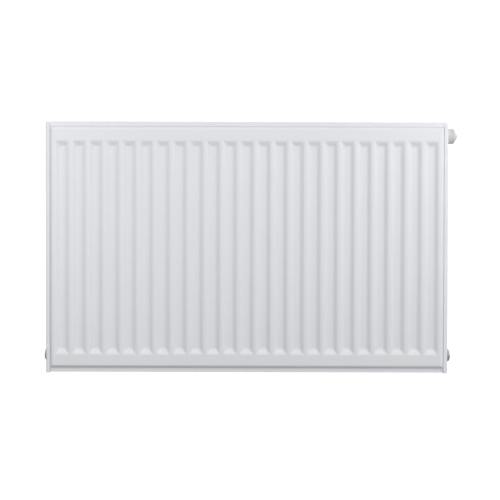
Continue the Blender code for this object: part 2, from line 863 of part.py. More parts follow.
def vent_plug():
    """The body of the air vent at the top left, with a lip that keeps the outlet ring on."""
    bore = BLEED_RADIUS + GAP
    flange_end = HEAD_X + VENT_FLANGE_LENGTH
    turned(
        "vent_plug_body",
        [
            (HUB_END_X, bore),
            (HUB_END_X, HUB_LIP_RADIUS),
            (HUB_LIP_X, HUB_LIP_RADIUS),
            (HUB_LIP_X, HUB_RADIUS),
            (flange_end, HUB_RADIUS),
            (flange_end, PLUG_RADIUS),
            (HEAD_X, PLUG_RADIUS),
            (HEAD_X, THREAD_RADIUS),
            (THREAD_START_X, THREAD_RADIUS),
            (THREAD_START_X, bore),
        ],
        (0, MID_Y, HUB_HIGH),
        NICKEL,
        side=-1,
    )
    ring("vent_o_ring", (-SEAL_X, MID_Y, HUB_HIGH), SEAL_RADIUS, RING_SEAL, BLACK_RUBBER)


def vent_outlet():
    """The ring that swivels on the air vent, with a spout below."""
    start, end = HEAD_X + VENT_FLANGE_LENGTH + GAP, HUB_LIP_X - GAP
    outlet = turned(
        "vent_outlet_ring",
        [
            (end, HUB_RADIUS + GAP),
            (end, OUTLET_RADIUS),
            (start, OUTLET_RADIUS),
            (start, HUB_RADIUS + GAP),
        ],
        (0, MID_Y, HUB_HIGH),
        WHITE_PLASTIC,
        side=-1,
    )

    def down(drop):
        return (-(start + end) / 2, MID_Y, HUB_HIGH - drop)

    root, tip = SPOUT_REACH
    spout = rod("vent_spout", down(root), down(tip), SPOUT_RADIUS, sides=SMALL_ROUND)
    boolean(outlet, spout, "UNION")
    bore = rod(
        "vent_spout_bore",
        down(HUB_RADIUS),
        down(tip + CUT_OVERLAP),
        SPOUT_BORE_RADIUS,
        sides=SMALL_ROUND,
    )
    boolean(outlet, bore, "DIFFERENCE")


def bleed_screw():
    tip, shoulder, head = BLEED_X
    screw = turned(
        "vent_bleed_screw",
        [
            (head, 0),
            (head, BLEED_RADIUS),
            (shoulder, BLEED_RADIUS),
            (tip, BLEED_TIP_RADIUS),
            (tip, 0),
        ],
        (0, MID_Y, HUB_HIGH),
        BRASS,
        side=-1,
        steps=SMALL_ROUND,
    )
    shape = bmesh.new()
    place = Matrix.Translation((-head, MID_Y, HUB_HIGH)) @ Matrix.Diagonal((*BLEED_SLOT, 1))
    bmesh.ops.create_cube(shape, size=1, matrix=place)
    boolean(screw, add_object("vent_screw_slot", shape, BRASS), "DIFFERENCE")


clear_scene()
parts = new_collection("panel_radiator")
cutters = new_collection("cutters", hidden=True)
water_panels()
convector("front_convector", -1)
convector("rear_convector", 1)
corner_tee("corner_tee_top_left", -1, HUB_HIGH)
corner_tee("corner_tee_bottom_left", -1, HUB_LOW)
connection_block()
valve_housing()
riser_pipe()
top_grille()
side_cover("side_cover_left", -1)
side_cover("side_cover_right", 1)
for level, height in zip(("bottom", "top"), LUG_Z):
    hanging_lug(f"hanging_lug_{level}_left", -LUG_X, height)
    hanging_lug(f"hanging_lug_{level}_right", LUG_X, height)
flange_clips()
valve_insert()
gland_and_dial()
pin_and_disc()
valve_cap()
blanking_plug("left", -1)
blanking_plug("right", 1)
vent_plug()
vent_outlet()
bleed_screw()
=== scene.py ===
"""Looks of a white panel radiator with a built-in valve, each piece shaped round its CAD node."""

import json
import math

import bmesh
import bpy
from mathutils import Matrix, Vector

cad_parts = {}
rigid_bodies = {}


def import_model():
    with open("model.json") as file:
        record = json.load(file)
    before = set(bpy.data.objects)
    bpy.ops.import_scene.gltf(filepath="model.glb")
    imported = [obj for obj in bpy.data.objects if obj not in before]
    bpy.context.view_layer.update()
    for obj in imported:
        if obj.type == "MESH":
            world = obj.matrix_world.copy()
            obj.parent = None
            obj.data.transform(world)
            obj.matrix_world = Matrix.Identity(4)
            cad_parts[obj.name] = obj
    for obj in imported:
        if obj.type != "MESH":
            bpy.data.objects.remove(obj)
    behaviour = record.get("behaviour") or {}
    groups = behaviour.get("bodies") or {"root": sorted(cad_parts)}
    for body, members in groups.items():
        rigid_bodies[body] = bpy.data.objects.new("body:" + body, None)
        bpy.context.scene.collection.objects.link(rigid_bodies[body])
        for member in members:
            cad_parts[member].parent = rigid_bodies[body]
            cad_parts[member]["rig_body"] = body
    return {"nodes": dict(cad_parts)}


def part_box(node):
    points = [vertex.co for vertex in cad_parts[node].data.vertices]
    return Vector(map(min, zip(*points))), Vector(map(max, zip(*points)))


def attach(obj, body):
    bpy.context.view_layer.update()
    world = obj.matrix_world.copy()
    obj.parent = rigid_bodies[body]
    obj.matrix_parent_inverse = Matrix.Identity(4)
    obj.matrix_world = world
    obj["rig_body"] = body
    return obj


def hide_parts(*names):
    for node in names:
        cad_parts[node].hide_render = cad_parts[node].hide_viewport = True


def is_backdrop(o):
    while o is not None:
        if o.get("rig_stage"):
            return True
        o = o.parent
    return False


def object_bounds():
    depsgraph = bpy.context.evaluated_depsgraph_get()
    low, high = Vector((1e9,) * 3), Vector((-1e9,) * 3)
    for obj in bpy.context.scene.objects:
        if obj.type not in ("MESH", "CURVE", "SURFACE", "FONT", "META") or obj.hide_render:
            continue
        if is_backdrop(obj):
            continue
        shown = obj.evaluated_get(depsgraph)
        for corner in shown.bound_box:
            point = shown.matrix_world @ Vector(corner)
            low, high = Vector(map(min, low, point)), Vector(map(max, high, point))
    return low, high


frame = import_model()
cad_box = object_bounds()

# Pressed sheets, in metres
SHEET = 0.0012
PRESS_DEPTH = 0.006
FLANGE = 0.0035
BOTTOM_FLANGE = 0.008
ROLL_RUN = 0.0055
COLUMNS = 24
RIB_FLAT = 0.008
WALL_RUN = 0.0068
END_RAMP = 0.009
PRESS_BEND = 0.0026
OUTER_POCKETS = (0.0385, 0.461)
INNER_POCKETS = (0.048, 0.452)

# Covers
COVER_SHEET = 0.0008
COVER_BEND = 0.0035
COVER_CORNER = 0.005
SLOT_PITCH = 0.0125
SLOT_WIDTH = 0.007
SLOT_LENGTH = 0.036
SLOT_ROW_OFFSET = 0.022
SLOT_COLUMNS = 60
SLOT_SIDES = 14
LIP_BEND = 0.0022
PLUG_HOLE_RADIUS = 0.015
CAP_HOLE_RADIUS = 0.018
HOLE_SIDES = 64
PUNCH_REACH = 0.01
SQUARE_FOLD = 1.2

# Convectors, lugs and clips, and the fits that all fittings share
FIN_SHEET = 0.0005
FIN_BEND = 0.0022
FIN_NEAR_FLAT = 0.008
FIN_FAR_FLAT = 0.012
FINS = 19
LUG_SHEET = 0.0025
LUG_BEND = 0.0016
LUG_RIM = 0.0004
LUG_FOOT = 0.009
CLIP_SHEET = 0.0006
CLIP_BEND = 0.0009
CLIP_RIM = 0.00015
GAP = 0.0003
TURN_STEPS = 48
BEAD_INSET = 0.0006
BEAD_RADIUS = 0.0011
BEAD_SIDES = 8

# Tees and pipes
TEE_X = 0.367
TEE_FACE_X = 0.391
TEE_RADIUS = 0.013
BOSS_RADIUS = 0.0145
PORT_RADIUS = 0.008
BORE_OVERRUN = 0.010
SOCKET_RADIUS = 0.0105
SOCKET_DEPTH = 0.017
SUPPLY_X = 0.317
STUB_FACE_Z = 0.008
STUB_RADIUS = 0.0132
BRIDGE_RADIUS = 0.0091
RETURN_RADIUS = 0.0076
RISER_RADIUS = 0.008
RISER_WALL = 0.0012
RISER_SOCKET_DEPTH = 0.010
RISER_SLEEVE_RADIUS = RISER_RADIUS + 0.0025
RISER_SLEEVE_DROP = 0.006
HOUSING_END_X = SUPPLY_X - 0.014
INLET_RADIUS = 0.0088
SEAT_X = 0.352
SEAT_RADIUS = 0.005
SEAT_LAND = 0.005
CUT_OVERLAP = 0.001

# Valve and plugs
THREAD_RADIUS = SOCKET_RADIUS - GAP
THREAD_RELIEF = 0.0008
THREAD_CHAMFER = 0.0012
HEAD_X = TEE_FACE_X + 0.0026
COLLAR_LENGTH = 0.0046
COLLAR_HEX_RADIUS = 0.0150
BARREL_RADIUS = 0.0140
BARREL_EDGE = 0.0006
CHAMBER_RADIUS = 0.0046
CHAMBER_X = 0.395
PIN_BORE_RADIUS = 0.00155
CAP_CONE = 0.0070
CAP_SOCKET = (0.0018, 0.0030)
CAP_RIBS = 30
CAP_RIB_DEPTH = 0.0005
CAP_RIB_ENDS = (0.0039, 0.0020)
# The cap's outline: its nose as (way back from the end, radius), then its shoulder and its rim as
# (way along from the shoulder or the rim, change from the skirt's radius)
CAP_NOSE = ((0, 0.0034), (0.0004, 0.0041), (0.0012, 0.0044), (0.0014, 0.0060), (0.0018, 0.0066))
CAP_SHOULDER = ((0.0008, -0.0018), (0, -0.0004), (-0.0008, 0), (-0.0016, 0), (-0.0021, 0))
CAP_RIM = ((0.0040, 0), (0.0035, 0), (0.0006, 0), (0, -0.0005))
PLUG_DOME = 0.0040
PLUG_EDGE = 0.0004
HEX_RADIUS = 0.0058
HEX_DEPTH = 0.006
HEX_LEAD_IN = 0.0005
HUB_RADIUS = 0.0070
HUB_LIP_RADIUS = 0.0080
HUB_LIP_X = 0.4026
VENT_EDGE = 0.0005
VENT_RIBS = 28
VENT_RIB_DEPTH = 0.0003
SPOUT_RADIUS = 0.0021
SPOUT_ROOT = 0.002
SPOUT_BORE_RADIUS = 0.0011
BLEED_RADIUS = 0.0027
BLEED_TIP_RADIUS = 0.0010
BLEED_HEAD = 0.0026
BLEED_TIP = 0.0060
BLEED_EDGE = 0.0004
BLEED_NECK = 0.0003
BLEED_SLOT = (0.0030, 0.0012, 0.0100)

# Studio
FLOOR_Z = -0.14
FLOOR_SIZE = 30
FLOOR_GLOW = 0.80
TENT_BASE = 0.60
TENT_RISE = -0.06
TENT_SIDE = 0.58
TENT_BEHIND = 0.50
TENT_IN_GLOSS = 0.66
TENT_LEAST = 0.02
STRIP_X = 0.80
STRIP_Y = -0.90
STRIP_Z = 0.68
STRIP_SIZE = (0.7, 0.30)
STRIP_POWER = 4.9
CAMERA_DISTANCE = 1.79
CAMERA_X = 0.058
CAMERA_Z = 0.373
CAMERA_PITCH = 0.8
CAMERA_ROLL = -0.15
CAMERA_LENS = 65.0
CAMERA_SHIFT = (-0.0525, -0.1030)

HANDS = {"left": -1, "right": 1}
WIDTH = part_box("side_cover_right")[1].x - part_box("side_cover_left")[0].x
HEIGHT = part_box("side_cover_left")[1].z
PITCH = WIDTH / COLUMNS
FRONT_Y, REAR_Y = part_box("front_panel_outer_sheet")[0].y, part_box("rear_panel_outer_sheet")[1].y
MID_Y = (FRONT_Y + REAR_Y) / 2
HUB_LOW = (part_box("blanking_plug_left")[0].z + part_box("blanking_plug_left")[1].z) / 2
HUB_HIGH = (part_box("valve_pin")[0].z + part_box("valve_pin")[1].z) / 2
SHARP_ANGLE = math.radians(35)


# Shader node groups


def shader_group(name, inputs, outputs):
    """An empty group with float inputs (name, value) and float outputs."""
    made = bpy.data.node_groups.new(name, "ShaderNodeTree")
    for label, value in inputs:
        socket = made.interface.new_socket(label, in_out="INPUT", socket_type="NodeSocketFloat")
        socket.default_value = value
    for label in outputs:
        made.interface.new_socket(label, in_out="OUTPUT", socket_type="NodeSocketFloat")
    return made, made.nodes.new("NodeGroupInput"), made.nodes.new("NodeGroupOutput")


def math_node(tree, operation, first, second=None, clamp=False):
    """A Math node whose inputs are sockets or numbers. Gives its output socket."""
    made = tree.nodes.new("ShaderNodeMath")
    made.operation = operation
    made.use_clamp = clamp
    for index, value in enumerate((first, second)):
        if isinstance(value, bpy.types.NodeSocket):
            tree.links.new(value, made.inputs[index])
        elif value is not None:
            made.inputs[index].default_value = value
    return made.outputs[0]


def noise_node(tree, vector, scale, detail=2.0, roughness=0.5):
    made = tree.nodes.new("ShaderNodeTexNoise")
    made.inputs["Detail"].default_value = detail
    made.inputs["Roughness"].default_value = roughness
    tree.links.new(vector, made.inputs["Vector"])
    if isinstance(scale, bpy.types.NodeSocket):
        tree.links.new(scale, made.inputs["Scale"])
    else:
        made.inputs["Scale"].default_value = scale
    return made.outputs["Fac"]


def object_place(tree):
    """Where a shaded point lies in its piece's own frame, in metres."""
    return tree.nodes.new("ShaderNodeTexCoord").outputs["Object"]


def components(tree, vector):
    """The X, Y and Z outputs of a vector."""
    split = tree.nodes.new("ShaderNodeSeparateXYZ")
    tree.links.new(vector, split.inputs[0])
    return split.outputs


def diagonal(tree, first, second):
    """The length whose two square sides are given."""
    squares = (math_node(tree, "POWER", side, 2.0) for side in (first, second))
    return math_node(tree, "SQRT", math_node(tree, "ADD", *squares))


def surface_grain_group():
    """Orange peel or moulded grain: a coarse and a fine ripple."""
    tree, given, result = shader_group(
        "surface_grain", [("Scale", 600.0), ("Fine Share", 0.35)], ["Height"]
    )
    place = object_place(tree)
    coarse = noise_node(tree, place, given.outputs["Scale"], detail=1.0)
    fine_scale = math_node(tree, "MULTIPLY", given.outputs["Scale"], 3.7)
    fine = noise_node(tree, place, fine_scale, detail=2.0)
    share = math_node(tree, "MULTIPLY", fine, given.outputs["Fine Share"])
    tree.links.new(math_node(tree, "ADD", coarse, share), result.inputs["Height"])
    return tree


def tone_drift_group():
    """Slow drift of a finish's thickness over a whole piece, as a mask about a middle value."""
    tree, given, result = shader_group(
        "tone_drift", [("Scale", 4.0), ("Amount", 0.5)], ["Mask"]
    )
    place = object_place(tree)
    slow = noise_node(tree, place, given.outputs["Scale"], detail=3.0, roughness=0.55)
    centred = math_node(tree, "SUBTRACT", slow, 0.5)
    scaled = math_node(tree, "MULTIPLY", centred, given.outputs["Amount"])
    tree.links.new(math_node(tree, "ADD", scaled, 0.5, clamp=True), result.inputs["Mask"])
    return tree


def edge_wear_group():
    """A mask of the convex edges, broken up by noise."""
    tree, given, result = shader_group(
        "edge_wear", [("Start", 0.52), ("Reach", 0.08), ("Break Up", 260.0)], ["Mask"]
    )
    pointed = tree.nodes.new("ShaderNodeNewGeometry").outputs["Pointiness"]
    over = math_node(tree, "SUBTRACT", pointed, given.outputs["Start"])
    edge = math_node(tree, "DIVIDE", over, given.outputs["Reach"], clamp=True)
    place = object_place(tree)
    patches = noise_node(tree, place, given.outputs["Break Up"], detail=3.0)
    tree.links.new(math_node(tree, "MULTIPLY", edge, patches), result.inputs["Mask"])
    return tree


def settled_dust_group():
    """Fine dust on faces that look up."""
    tree, given, result = shader_group("settled_dust", [("Amount", 0.25)], ["Mask"])
    normal = components(tree, tree.nodes.new("ShaderNodeNewGeometry").outputs["Normal"])
    upward = math_node(tree, "POWER", math_node(tree, "MAXIMUM", normal["Z"], 0.0), 3.0)
    place = object_place(tree)
    patches = noise_node(tree, place, 90.0, detail=4.0, roughness=0.65)
    settled = math_node(tree, "MULTIPLY", upward, patches)
    share = math_node(tree, "MULTIPLY", settled, given.outputs["Amount"], clamp=True)
    tree.links.new(share, result.inputs["Mask"])
    return tree


def weld_spots_group():
    """Shallow round dimples of the spot welds along the floor of each recess."""
    tree, given, result = shader_group(
        "weld_spots",
        [("Across", PITCH), ("Along", 0.0535), ("Radius", 0.0032), ("Floor Y", 0.0)],
        ["Height"],
    )
    place = components(tree, object_place(tree))

    def from_nearest(socket, spacing):
        steps = math_node(tree, "DIVIDE", socket, spacing)
        nearest = math_node(tree, "ROUND", steps)
        return math_node(tree, "MULTIPLY", math_node(tree, "SUBTRACT", steps, nearest), spacing)

    across = from_nearest(place["X"], given.outputs["Across"])
    along = from_nearest(place["Z"], given.outputs["Along"])
    reach = math_node(tree, "DIVIDE", diagonal(tree, across, along), given.outputs["Radius"])
    rise = math_node(tree, "SUBTRACT", reach, 0.6)
    dish = math_node(tree, "MULTIPLY", rise, 2.5, clamp=True)
    depth = math_node(tree, "SUBTRACT", place["Y"], given.outputs["Floor Y"])
    off_floor = math_node(tree, "GREATER_THAN", math_node(tree, "ABSOLUTE", depth), 0.0015)
    height = math_node(tree, "MAXIMUM", dish, off_floor)
    tree.links.new(height, result.inputs["Height"])
    return tree


def turning_marks_group():
    """Fine rings left by a lathe on a piece turned about an X line."""
    tree, given, result = shader_group(
        "turning_marks", [("Scale", 2600.0), ("Centre Y", 0.0), ("Centre Z", 0.0)], ["Height"]
    )
    place = components(tree, object_place(tree))
    sideways = math_node(tree, "SUBTRACT", place["Y"], given.outputs["Centre Y"])
    upwards = math_node(tree, "SUBTRACT", place["Z"], given.outputs["Centre Z"])
    around = tree.nodes.new("ShaderNodeCombineXYZ")
    tree.links.new(place["X"], around.inputs["X"])
    tree.links.new(diagonal(tree, sideways, upwards), around.inputs["Y"])
    rings = noise_node(tree, around.outputs[0], given.outputs["Scale"], detail=2.0)
    tree.links.new(rings, result.inputs["Height"])
    return tree


grain = surface_grain_group()
drift = tone_drift_group()
wear = edge_wear_group()
dust = settled_dust_group()
weld_spots = weld_spots_group()
turning = turning_marks_group()


# Materials


def new_material(name, roughness, metallic=0.0, coat=0.0, coat_roughness=0.1, ior=1.5):
    made = bpy.data.materials.new(name)
    made.use_nodes = True
    shader = made.node_tree.nodes["Principled BSDF"]
    shader.inputs["Roughness"].default_value = roughness
    shader.inputs["Metallic"].default_value = metallic
    shader.inputs["Coat Weight"].default_value = coat
    shader.inputs["Coat Roughness"].default_value = coat_roughness
    shader.inputs["IOR"].default_value = ior
    return made, made.node_tree, shader


def place_group(tree, group, **values):
    made = tree.nodes.new("ShaderNodeGroup")
    made.node_tree = group
    for label, value in values.items():
        made.inputs[label.replace("_", " ")].default_value = value
    return made.outputs[0]


def mix_colours(tree, mask, first, second):
    """Blends two colours, each a socket or a tuple, by a mask."""
    made = tree.nodes.new("ShaderNodeMix")
    made.data_type = "RGBA"
    tree.links.new(mask, made.inputs["Factor"])
    for label, value in (("A", first), ("B", second)):
        socket = next(s for s in made.inputs if s.name == label and s.type == "RGBA")
        if isinstance(value, bpy.types.NodeSocket):
            tree.links.new(value, socket)
        else:
            socket.default_value = (*value, 1.0)
    return next(s for s in made.outputs if s.type == "RGBA")


def roughness_between(tree, shader, mask, smooth, rough):
    span = math_node(tree, "MULTIPLY", mask, rough - smooth)
    tree.links.new(math_node(tree, "ADD", span, smooth), shader.inputs["Roughness"])


def bump(tree, shader, layers):
    """Chains Bump nodes, each (height socket, distance in metres), into Normal."""
    normal = None
    for height, distance in layers:
        made = tree.nodes.new("ShaderNodeBump")
        made.inputs["Distance"].default_value = distance
        tree.links.new(height, made.inputs["Height"])
        if normal:
            tree.links.new(normal, made.inputs["Normal"])
        normal = made.outputs[0]
    tree.links.new(normal, shader.inputs["Normal"])


def powder_coat(name, colour, floor_y=None, peel=0.00006):
    """Sprayed and baked coating: even colour, fine orange peel, soft gloss."""
    made, tree, shader = new_material(name, 0.34, coat=0.25, coat_roughness=0.22)
    tone = place_group(tree, drift, Scale=3.0, Amount=1.6)
    thin = tuple(channel * 0.965 for channel in colour)
    coated = mix_colours(tree, tone, colour, thin)
    worn = place_group(tree, wear, Start=0.53, Reach=0.10, Break_Up=220.0)
    edged = mix_colours(tree, worn, coated, tuple(min(channel * 1.03, 0.95) for channel in colour))
    dusty = place_group(tree, dust, Amount=0.16)
    final = mix_colours(tree, dusty, edged, (0.62, 0.60, 0.57))
    tree.links.new(final, shader.inputs["Base Color"])
    roughness_between(tree, shader, tone, 0.30, 0.40)
    layers = [(place_group(tree, grain, Scale=650.0, Fine_Share=0.3), peel)]
    if floor_y is not None:
        layers.append((place_group(tree, weld_spots, Floor_Y=floor_y), 0.00012))
    bump(tree, shader, layers)
    return made


def dip_primer(name):
    """Thin matt dip coat on the folded sheets inside."""
    made, tree, shader = new_material(name, 0.6)
    tone = place_group(tree, drift, Scale=14.0, Amount=2.4)
    coated = mix_colours(tree, tone, (0.74, 0.75, 0.76), (0.60, 0.61, 0.62))
    dusty = place_group(tree, dust, Amount=0.35)
    tree.links.new(mix_colours(tree, dusty, coated, (0.5, 0.48, 0.45)), shader.inputs["Base Color"])
    roughness_between(tree, shader, tone, 0.50, 0.68)
    bump(tree, shader, [(place_group(tree, grain, Scale=900.0, Fine_Share=0.6), 0.00005)])
    return made


def turned_metal(name, colour, tarnish, centre_z):
    """Metal turned about an X line at mid-depth, with fine rings and a little tarnish."""
    made, tree, shader = new_material(name, 0.22, metallic=1.0)
    tone = place_group(tree, drift, Scale=55.0, Amount=1.8)
    worn = place_group(tree, wear, Start=0.54, Reach=0.10, Break_Up=900.0)
    aged = mix_colours(tree, tone, colour, tarnish)
    bright = tuple(min(channel * 1.15, 1.0) for channel in colour)
    tree.links.new(mix_colours(tree, worn, aged, bright), shader.inputs["Base Color"])
    roughness_between(tree, shader, tone, 0.165, 0.352)
    rings = place_group(tree, turning, Scale=2600.0, Centre_Y=MID_Y, Centre_Z=centre_z)
    bump(tree, shader, [(rings, 0.00003)])
    return made


def rolled_steel(name, colour, dull):
    """Bare strip or wire with fine lengthwise rolling marks and a little brown tarnish."""
    made, tree, shader = new_material(name, 0.34, metallic=1.0)
    place = object_place(tree)
    stretch = tree.nodes.new("ShaderNodeMapping")
    stretch.inputs["Scale"].default_value = (1.0, 1.0, 0.06)
    tree.links.new(place, stretch.inputs["Vector"])
    marks = noise_node(tree, stretch.outputs["Vector"], 5200.0, detail=3.0, roughness=0.6)
    tone = place_group(tree, drift, Scale=130.0, Amount=2.0)
    aged = mix_colours(tree, tone, colour, dull)
    worn = place_group(tree, wear, Start=0.54, Reach=0.10, Break_Up=1200.0)
    bright = tuple(min(channel * 1.25, 1.0) for channel in colour)
    tree.links.new(mix_colours(tree, worn, aged, bright), shader.inputs["Base Color"])
    roughness_between(tree, shader, tone, 0.26, 0.46)
    bump(tree, shader, [(marks, 0.00003)])
    return made


def moulded_plastic(name, colour, roughness=0.42):
    """Moulded plastic with a fine spark grain and paler rubbed edges."""
    made, tree, shader = new_material(name, roughness, ior=1.49)
    tone = place_group(tree, drift, Scale=40.0, Amount=1.2)
    base = mix_colours(tree, tone, colour, tuple(channel * 0.94 for channel in colour))
    worn = place_group(tree, wear, Start=0.53, Reach=0.08, Break_Up=700.0)
    rubbed = tuple(min(channel * 1.08, 0.95) for channel in colour)
    tree.links.new(mix_colours(tree, worn, base, rubbed), shader.inputs["Base Color"])
    roughness_between(tree, shader, tone, roughness * 0.85, roughness * 1.2)
    bump(tree, shader, [(place_group(tree, grain, Scale=1400.0, Fine_Share=0.5), 0.00004)])
    return made


def seal_rubber(name):
    made, tree, shader = new_material(name, 0.62, ior=1.52)
    tone = place_group(tree, drift, Scale=160.0, Amount=2.0)
    tree.links.new(
        mix_colours(tree, tone, (0.018, 0.018, 0.019), (0.05, 0.05, 0.052)),
        shader.inputs["Base Color"],
    )
    roughness_between(tree, shader, tone, 0.5, 0.75)
    bump(tree, shader, [(place_group(tree, grain, Scale=2400.0, Fine_Share=0.7), 0.00004)])
    return made


WHITE = (0.80, 0.815, 0.84)
PIPE_WHITE = (0.76, 0.77, 0.79)
NICKEL, NICKEL_TARNISH = (0.62, 0.62, 0.61), (0.42, 0.42, 0.41)
BRASS, BRASS_TARNISH = (0.80, 0.62, 0.33), (0.52, 0.37, 0.18)
STEEL, STEEL_TARNISH = (0.56, 0.56, 0.57), (0.38, 0.37, 0.36)
cover_coat = powder_coat("cover_powder_coat", WHITE)
pipe_coat = powder_coat("pipe_powder_coat", PIPE_WHITE, peel=0.00009)
primer = dip_primer("white_dip_primer")
nickel_low = turned_metal("nickel_plated_plug", NICKEL, NICKEL_TARNISH, HUB_LOW)
nickel_high = turned_metal("nickel_plated_valve", NICKEL, NICKEL_TARNISH, HUB_HIGH)
turned_brass = turned_metal("turned_brass", BRASS, BRASS_TARNISH, HUB_HIGH)
spring_steel = rolled_steel("spring_steel", STEEL, STEEL_TARNISH)
cap_plastic = moulded_plastic("cap_plastic", (0.66, 0.665, 0.68))
dial_plastic = moulded_plastic("dial_plastic", (0.52, 0.53, 0.55))
vent_plastic = moulded_plastic("vent_plastic", (0.80, 0.80, 0.79), roughness=0.34)
rubber = seal_rubber("seal_rubber")


# Shaping


def place_object(name, shape):
    """Puts a bmesh into the scene as an object, and frees it."""
    mesh = bpy.data.meshes.new(name)
    shape.to_mesh(mesh)
    shape.free()
    made = bpy.data.objects.new(name, mesh)
    bpy.context.scene.collection.objects.link(made)
    return made


def shade(made, finish):
    """Gives an object its finish, smooth faces and sharp edges."""
    made.data.materials.clear()
    made.data.materials.append(finish)
    made.data.shade_smooth()
    made.data.set_sharp_from_angle(angle=SHARP_ANGLE)


def piece(name, shape, finish, node, modifiers=()):
    """Makes a finished piece from a bmesh: it rides with its CAD node and stands for it."""
    made = place_object(name, shape)
    for kind, values in modifiers:
        modifier = made.modifiers.new(kind.lower(), kind)
        for label, value in values.items():
            setattr(modifier, label, value)
    if modifiers:
        bake_modifiers(made)
    shade(made, finish)
    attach(made, frame["nodes"][node]["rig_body"])
    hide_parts(node)
    return made


def bake_modifiers(made):
    """Puts what the modifiers make into the mesh, and removes any Boolean tools."""
    bpy.context.view_layer.update()
    graph = bpy.context.evaluated_depsgraph_get()
    baked = bpy.data.meshes.new_from_object(made.evaluated_get(graph))
    tools = [modifier.object for modifier in made.modifiers if modifier.type == "BOOLEAN"]
    made.modifiers.clear()
    made.data = baked
    for tool in tools:
        bpy.data.objects.remove(tool)


def add_rod(shape, start, end, radius, sides=TURN_STEPS):
    """A round rod between two points, or a prism with the given number of sides."""
    start, end = Vector(start), Vector(end)
    along = end - start
    turn = along.to_track_quat("Z", "Y").to_matrix().to_4x4()
    bmesh.ops.create_cone(
        shape,
        cap_ends=True,
        segments=sides,
        radius1=radius,
        radius2=radius,
        depth=along.length,
        matrix=Matrix.Translation((start + end) / 2) @ turn,
    )


def combine(made, tools, operation):
    """Boolean modifiers, one for each rod of (start, end, radius) or (start, end, radius, sides)."""
    for tool in tools:
        shape = bmesh.new()
        add_rod(shape, *tool)
        modifier = made.modifiers.new(operation.lower(), "BOOLEAN")
        modifier.operation = operation
        modifier.solver = "EXACT"
        modifier.object = place_object("tool", shape)


def at(x, z):
    """A point at mid-depth, where the axis of every fitting lies."""
    return (x, MID_Y, z)


def shell(thickness, offset=-1.0):
    return ("SOLIDIFY", {"thickness": thickness, "offset": offset, "use_even_offset": True})


def weigh_normals(made):
    """Keeps flat faces flat between rounded edges."""
    modifier = made.modifiers.new("normals", "WEIGHTED_NORMAL")
    modifier.keep_sharp = True
    return made


def bevel_edges(shape, edges, offset, segments):
    bmesh.ops.bevel(
        shape,
        geom=edges,
        offset=offset,
        affect="EDGES",
        segments=segments,
        profile=0.5,
        material=-1,
        clamp_overlap=True,
    )


def folded_edges(shape, least=0.1):
    return [
        edge
        for edge in shape.edges
        if len(edge.link_faces) == 2 and edge.calc_face_angle() > least
    ]


def cut_lines(shape, faces, axis, places):
    """Splits the faces along planes square to the axis at the given places."""
    normal = Vector([float(index == axis) for index in range(3)])
    for place in places:
        live = [face for face in faces if face.is_valid]
        around = {edge for face in live for edge in face.edges}
        corners = {vert for face in live for vert in face.verts}
        cut = bmesh.ops.bisect_plane(
            shape, geom=live + list(around) + list(corners), plane_co=normal * place, plane_no=normal
        )
        faces = [item for item in cut["geom"] if isinstance(item, bmesh.types.BMFace)]
    return faces


def flat_rectangle(shape, low, high):
    """One face in the XZ plane that faces -Y."""
    centre = (Vector(low) + Vector(high)) / 2
    size = Vector(high) - Vector(low)
    turn = Matrix.Rotation(math.pi / 2, 4, "X")
    scale = Matrix.Diagonal((size.x, size.y, 1, 1))
    place = Matrix.Translation((centre.x, 0, centre.y)) @ turn @ scale
    bmesh.ops.create_grid(shape, x_segments=1, y_segments=1, size=0.5, matrix=place)
    return shape.faces[:]


# Water panels


def pressed_sheet(name, node, faces_front, pockets):
    """A pressed sheet with a flange, a rolled edge and a recess between each two channels."""
    lowest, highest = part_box(node)
    widening = BOTTOM_FLANGE - FLANGE
    shape = bmesh.new()
    face = flat_rectangle(shape, (lowest.x, lowest.z + widening), (highest.x, highest.z))
    bmesh.ops.inset_region(
        shape, faces=face, thickness=FLANGE, use_boundary=True, use_even_offset=True
    )
    foot = [vert for vert in shape.verts if vert.is_boundary and vert.co.z < HEIGHT / 2]
    bmesh.ops.translate(shape, verts=foot, vec=(0, 0, -widening))
    bmesh.ops.inset_region(
        shape, faces=face, thickness=ROLL_RUN, depth=PRESS_DEPTH, use_even_offset=True
    )
    half = (PITCH - RIB_FLAT) / 2
    centres = [(index + 1) * PITCH - WIDTH / 2 for index in range(COLUMNS - 1)]
    bottom, top = pockets
    cells = cut_lines(shape, face, 2, (bottom, top))
    cells = cut_lines(shape, cells, 0, [x + side * half for x in centres for side in (-1, 1)])
    floors = [
        cell
        for cell in cells
        if bottom < cell.calc_center_median().z < top
        and any(abs(cell.calc_center_median().x - x) < half for x in centres)
    ]
    bmesh.ops.inset_individual(
        shape, faces=floors, thickness=WALL_RUN, depth=-PRESS_DEPTH, use_even_offset=True
    )
    middle = (bottom + top) / 2
    for corner in {vert for floor in floors for vert in floor.verts}:
        corner.co.z += math.copysign(END_RAMP - WALL_RUN, middle - corner.co.z)
    bevel_edges(shape, folded_edges(shape), PRESS_BEND, 5)
    turn = Matrix.Identity(4) if faces_front else Matrix.Rotation(math.pi, 4, "Z")
    flange_y = highest.y - SHEET if faces_front else lowest.y + SHEET
    place = Matrix.Translation((0, flange_y, 0)) @ turn
    bmesh.ops.transform(shape, matrix=place, verts=shape.verts[:])
    finish = powder_coat(f"{name}_coat", WHITE, floor_y=flange_y)
    return weigh_normals(piece(name, shape, finish, node, [shell(SHEET)]))


pressed_sheet("front_face_sheet", "front_panel_outer_sheet", True, OUTER_POCKETS)
pressed_sheet("front_back_sheet", "front_panel_inner_sheet", False, INNER_POCKETS)
pressed_sheet("rear_front_sheet", "rear_panel_inner_sheet", True, INNER_POCKETS)
pressed_sheet("rear_face_sheet", "rear_panel_outer_sheet", False, OUTER_POCKETS)


# Strips: convectors, lugs and clips


